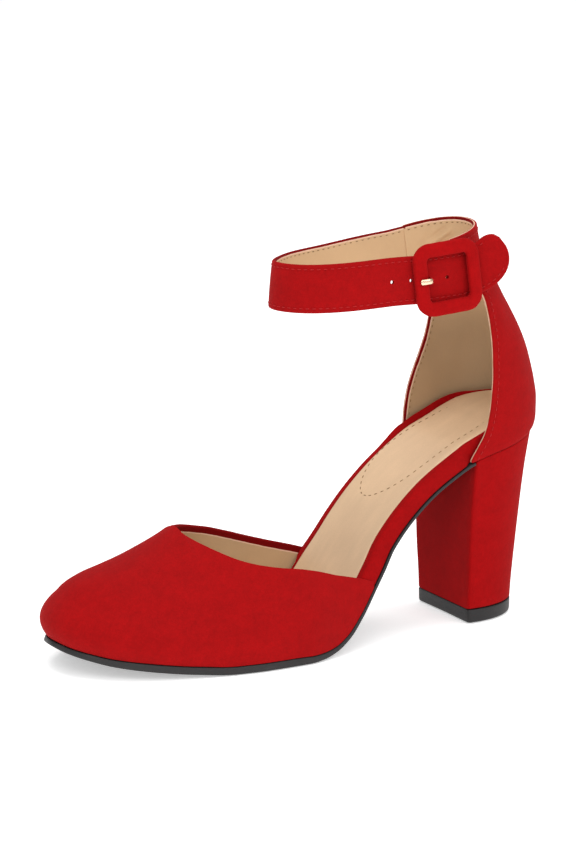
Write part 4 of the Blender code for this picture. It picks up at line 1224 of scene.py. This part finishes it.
class PUMP_OT_strap(bpy.types.Operator):
    """Build the ankle strap with its holes, lining and edge stitching"""

    bl_idname = "pump.strap"
    bl_label = "Ankle strap"

    def execute(self, context):
        path, up, out = strap_line(340)
        s = lengths(path)
        base = s[s < s[-1] - TAIL_LOWER]
        tail = s[-1] - TAIL_LOWER * np.cos(np.linspace(0, math.pi / 2, 40))
        run = np.concatenate([base, tail])
        path, up, out = [np.stack([np.interp(run, s, v[:, k]) for k in range(3)], -1)
                         for v in (path, up, out)]
        wide = sizes("strap_width") / 2
        high = TAIL_MEET + (wide - TAIL_MEET) * round_end(run, TAIL_UPPER)
        low = TAIL_MEET - (wide + TAIL_MEET) * round_end(run, TAIL_LOWER)
        t = sizes("strap_thick") / 2
        mid = (high + low) / 2
        reach = (high - low) / 2
        across = np.sin(np.linspace(-1, 1, 29) * math.pi / 2 * 0.985)
        u = mid[:, None] + reach[:, None] * across
        near_edge = reach[:, None] * (1 - np.abs(across))
        pad = t * np.sqrt(np.clip(1 - (1 - np.clip(near_edge / 0.85, 0, 1)) ** 2, 0.03, 1))
        groove = 0.13 * np.exp(-((near_edge - sizes("seam_in")) / 0.5) ** 2)
        wave = 0.10 * np.sin(run / 11.0)[:, None] * np.cos(across * 2.2)[None]
        thin = 0.55 + 0.45 * np.clip(run / STRAP_SEWN - 0.1, 0, 1) ** 0.5
        face = (pad - groove) * thin[:, None]
        ring_u = np.concatenate([u, u[:, ::-1]], axis=1)
        ring_v = np.concatenate([face, -face[:, ::-1]], axis=1)
        wave = np.concatenate([wave, wave[:, ::-1]], axis=1) * (reach[:, None] > 6)
        loops = path[:, None] + up[:, None] * ring_u[..., None]
        loops = loops + out[:, None] * (ring_v + wave)[..., None]
        inner = np.concatenate([np.zeros_like(u), np.ones_like(u)], axis=1)
        inner[:, [0, 28]] = 0.35
        inner[:, [29, 57]] = 0.45
        edge_mm = np.concatenate([near_edge, near_edge[:, ::-1]], axis=1)
        edge_mm = np.minimum(edge_mm, (run[-1] - run)[:, None] + 0.3 * edge_mm)
        fields = {"inner": inner.ravel(), "edge_mm": edge_mm.ravel()}
        rows, cols, _ = loops.shape
        obj = add_piece("strap_band", loops.reshape(-1, 3), quads(rows, cols, 0, True),
                        "strap_suede_and_lining", "ankle_strap", 75, fields,
                        (loops[0],))
        line, _, outs = strap_line(1600)
        for k, x in enumerate(STRAP_HOLES):
            i = np.argmin(np.abs(line[:, 0] - x) + 200 * (line[:, 1] > -15))
            self.punch(obj, "hole_%d" % k, line[i], outs[i])
        pitch, inset = sizes("stitch_pitch"), sizes("seam_in")
        keep = slice(6, -10)
        for name, at in (("upper", high - inset), ("lower", low + inset)):
            at = np.clip(at, low + inset * 0.8, high - inset * 0.8)
            middle = path + up * at[:, None]
            for sign, label, kind, size in ((1, "", "upper_thread", OUTER_STITCH),
                                            (-1, "_lining", "lining_thread", LINING_STITCH)):
                line = middle + sign * out * (t - 0.12)
                stitches("strap_%s%s_stitches" % (name, label), line[keep], sign * out[keep], kind,
                         "upper_red", pitch, *size)
        return {"FINISHED"}

    def punch(self, target, name, centre, axis):
        """Cut one round hole through the strap along the axis."""
        a = np.arange(32) * math.pi / 16
        ring = np.column_stack([np.cos(a), np.sin(a)]) * HOLE_RADIUS
        pts = np.concatenate([np.column_stack([ring, np.full(32, z)]) for z in (-4.0, 4.0)])
        turn = np.array(Vector(axis).to_track_quat("Z", "Y").to_matrix())
        pts = pts @ turn.T + centre
        faces = quads(2, 32, 0, True).tolist() + [list(range(31, -1, -1)), list(range(32, 64))]
        mesh = bpy.data.meshes.new(name)
        mesh.from_pydata(place(pts), [], faces)
        tool = bpy.data.objects.new(name, mesh)
        bpy.context.scene.collection.objects.link(tool)
        mod = target.modifiers.new(name, "BOOLEAN")
        mod.operation = "DIFFERENCE"
        mod.solver = "EXACT"
        mod.object = tool
        bpy.context.view_layer.update()
        depsgraph = bpy.context.evaluated_depsgraph_get()
        done = bpy.data.meshes.new_from_object(target.evaluated_get(depsgraph))
        target.modifiers.remove(mod)
        target.data = done
        bpy.data.objects.remove(tool)


class PUMP_OT_buckle(bpy.types.Operator):
    """Build the suede wrapped frame, the bar behind the strap and the prong, and cover the loop in
    suede
    """

    bl_idname = "pump.buckle"
    bl_label = "Buckle"

    def execute(self, context):
        hw = (FRAME_WIDE - FRAME_BAR) / 2
        hh = (FRAME_HIGH - FRAME_BAR) / 2
        r = FRAME_ROUND
        corners = np.array([(1, 1), (-1, 1), (-1, -1), (1, -1)], float)
        path = []
        for k in range(4):
            a = math.pi / 2 * (k + np.linspace(0, 1, 15))
            base = corners[k] * (hw - r, hh - r)
            path.append(np.column_stack([base[0] + r * np.cos(a), base[1] + r * np.sin(a), a]))
            nxt = corners[(k + 1) % 4] * (hw - r, hh - r)
            s = np.linspace(0, 1, 13)[1:-1, None]
            last = path[-1][-1]
            mid = base + (nxt - base) * s + r * np.array([math.cos(last[2]), math.sin(last[2])])
            path.append(np.column_stack([mid, np.full(len(s), last[2])]))
        path = np.concatenate(path)
        a = 2 * math.pi * (np.arange(36) + 0.5) / 36
        c = np.sign(np.cos(a)) * np.abs(np.cos(a)) ** 0.66 * FRAME_BAR / 2
        s = np.sign(np.sin(a)) * np.abs(np.sin(a)) ** 0.78 * FRAME_THICK / 2
        puff = 1 + 0.012 * np.sin(path[:, 2] * 7 + path[:, 0])[:, None]
        loops = np.stack([path[:, 0:1] + np.cos(path[:, 2:3]) * c * puff,
                          np.broadcast_to(s, (len(path), 36)) * puff,
                          path[:, 1:2] + np.sin(path[:, 2:3]) * c * puff], -1)
        loops = at_frame(np.concatenate([loops, loops[:1]]))
        loft("buckle_cover", loops, "suede_buckle", "buckle_frame", 80)

        foot = -FRAME_THICK / 2 - 0.3
        turn = np.linspace(0, math.pi / 2, 9)[1:]
        arm = [(foot, BAR_HIGH), (foot - 1.2, BAR_HIGH)]
        arm += [(BAR_OUT + 1.2 - 1.2 * math.sin(k), BAR_HIGH - 1.2 + 1.2 * math.cos(k))
                for k in turn]
        half_line = np.array(arm + [(BAR_OUT, 6.0), (BAR_OUT, 3.0)])
        line = np.concatenate([half_line, [(BAR_OUT, 0.0)], half_line[::-1] * (1, -1)])
        path = np.column_stack([np.full(len(line), BAR_AT), line])
        self.wire("buckle_staple", path, (1.0, 0, 0), BAR_RADIUS, BAR_RADIUS, "bar_metal",
                  "buckle_bar")

        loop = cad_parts["buckle_loop"].data.materials
        loop.clear()
        loop.append(finish("suede_buckle"))

        top = FRAME_THICK / 2
        hook = np.radians([0, 28, 56, 85])
        pts = [(BAR_AT + 1.75 * math.cos(k), BAR_OUT + 1.75 * math.sin(k)) for k in hook]
        pts += [(-1.8, BAR_OUT + 1.45), (-5.4, BAR_OUT + 1.4), (-6.7, BAR_OUT + 1.75)]
        pts += [(-7.35, BAR_OUT + 2.6), (-7.45, BAR_OUT + 4.0), (-7.5, BAR_OUT + 5.6)]
        pts += [(-7.9, top - 0.8), (-8.9, top + 0.6), (-10.2, top + 1.0), (-12.0, top + 0.9),
                (-13.6, top + 0.55)]
        fine = spline(np.array(pts), 110)
        path = np.column_stack([fine, np.zeros(len(fine))])
        wide = np.where(fine[:, 0] < -8.3, 1.1, 0.8)
        wide = np.convolve(np.pad(wide, 4, mode="edge"), np.ones(9) / 9, "valid")
        left = lengths(fine)
        close = np.clip((left[-1] - left) / 0.5, 0, 1)
        wide = wide * np.sqrt(np.clip(1 - (1 - close) ** 2, 0.3, 1))
        self.wire("buckle_pin", path, (0, 0, 1.0), wide, 0.45, "prong_gold", "buckle_prong")
        return {"FINISHED"}

    def wire(self, name, path, side, wide, thick, slot, node):
        """Rounded bar in buckle coordinates along a path; wide lies along side."""
        t = unit(np.gradient(path, axis=0))
        side = np.broadcast_to(np.array(side, float), path.shape)
        other = unit(np.cross(t, side))
        a = 2 * math.pi * np.arange(20) / 20
        c = (np.sign(np.cos(a)) * np.abs(np.cos(a)) ** 0.8)[None, :, None]
        s = (np.sign(np.sin(a)) * np.abs(np.sin(a)) ** 0.8)[None, :, None]
        wide = np.broadcast_to(wide, (len(path),))[:, None, None]
        loops = path[:, None] + side[:, None] * c * wide + other[:, None] * s * thick
        return loft(name, at_frame(loops), "prong_metal", node, 60, True, True)


class PUMP_OT_stage(bpy.types.Operator):
    """Set the floor, the soft light and the camera"""

    bl_idname = "pump.stage"
    bl_label = "Stage"

    def execute(self, context):
        scene = context.scene
        mesh = bpy.data.meshes.new("floor")
        corners = [(x * FLOOR_HALF, y * FLOOR_HALF, -0.0004)
                   for x, y in ((-1, -1), (1, -1), (1, 1), (-1, 1))]
        mesh.from_pydata(corners, [], [(0, 1, 2, 3)])
        floor = bpy.data.objects.new("floor", mesh)
        scene.collection.objects.link(floor)
        mat = bpy.data.materials.new("floor_white")
        mat.use_nodes = True
        surface = mat.node_tree.nodes["Principled BSDF"]
        for key, value in (("Base Color", (0.93, 0.93, 0.93, 1)), ("Roughness", 0.9),
                           ("Specular IOR Level", 0.1), ("Emission Color", (1, 1, 1, 1)),
                           ("Emission Strength", 0.42)):
            surface.inputs[key].default_value = value
        mesh.materials.append(mat)
        world = bpy.data.worlds.new("studio")
        world.use_nodes = True
        back = world.node_tree.nodes["Background"]
        back.inputs["Color"].default_value = (1.0, 1.0, 1.0, 1)
        back.inputs["Strength"].default_value = 0.58
        scene.world = world
        scene.view_settings.view_transform = "Standard"
        centre = Vector((0.0, 0.0, 0.07))
        for name, at, power, size in LAMPS:
            data = bpy.data.lights.new(name, "AREA")
            data.energy = power
            data.size = size
            lamp = bpy.data.objects.new(name, data)
            lamp.location = at
            lamp.rotation_euler = (centre - Vector(at)).to_track_quat("-Z", "Y").to_euler()
            scene.collection.objects.link(lamp)
        azimuth, height, roll = (math.radians(k) for k in CAMERA_TURN)
        view = np.array([math.sin(azimuth) * math.cos(height), math.cos(azimuth) * math.cos(height),
                         -math.sin(height)])
        right = np.array([math.cos(azimuth), -math.sin(azimuth), 0.0])
        up = np.cross(right, view)
        right, up = (math.cos(roll) * right + math.sin(roll) * up,
                     math.cos(roll) * up - math.sin(roll) * right)
        back_off, aside, above = CAMERA_MOVE
        eye = place(np.array([115.0, 0.0, 60.0]) - back_off * view - aside * right + above * up)
        data = bpy.data.cameras.new("camera")
        data.lens, data.sensor_width, data.clip_end = 132.2, 36.0, 20.0
        camera = bpy.data.objects.new("camera", data)
        cols = np.column_stack([right, up, -view, eye])
        camera.matrix_world = Matrix([*cols.tolist(), [0, 0, 0, 1]])
        scene.collection.objects.link(camera)
        scene.camera = camera
        return {"FINISHED"}


STEPS = (PUMP_OT_outsole, PUMP_OT_footbed, PUMP_OT_heel, PUMP_OT_vamp, PUMP_OT_quarter,
         PUMP_OT_strap, PUMP_OT_buckle, PUMP_OT_stage)


class PUMP_PT_panel(bpy.types.Panel):
    """Sizes, colours and steps of the pump"""

    bl_idname = "PUMP_PT_panel"
    bl_label = "Pump"
    bl_space_type = "VIEW_3D"
    bl_region_type = "UI"
    bl_category = "Pump"

    def draw(self, context):
        layout = self.layout
        for group in (context.scene.pump_sizes, context.scene.pump_colours):
            box = layout.box()
            for name in group.__annotations__:
                box.prop(group, name)
        for step in STEPS:
            layout.operator(step.bl_idname)


CLASSES = (PumpColours, PumpSizes, *STEPS, PUMP_PT_panel)


def register():
    for cls in CLASSES:
        bpy.utils.register_class(cls)
    bpy.types.Scene.pump_colours = bpy.props.PointerProperty(type=PumpColours)
    bpy.types.Scene.pump_sizes = bpy.props.PointerProperty(type=PumpSizes)


def unregister():
    del bpy.types.Scene.pump_sizes
    del bpy.types.Scene.pump_colours
    for cls in reversed(CLASSES):
        bpy.utils.unregister_class(cls)


def main():
    """Register the classes and build every piece."""
    register()
    pump = bpy.ops.pump
    for step in (pump.outsole, pump.footbed, pump.heel, pump.vamp, pump.quarter, pump.strap,
                 pump.buckle, pump.stage):
        step()


if __name__ == "__main__":
    main()
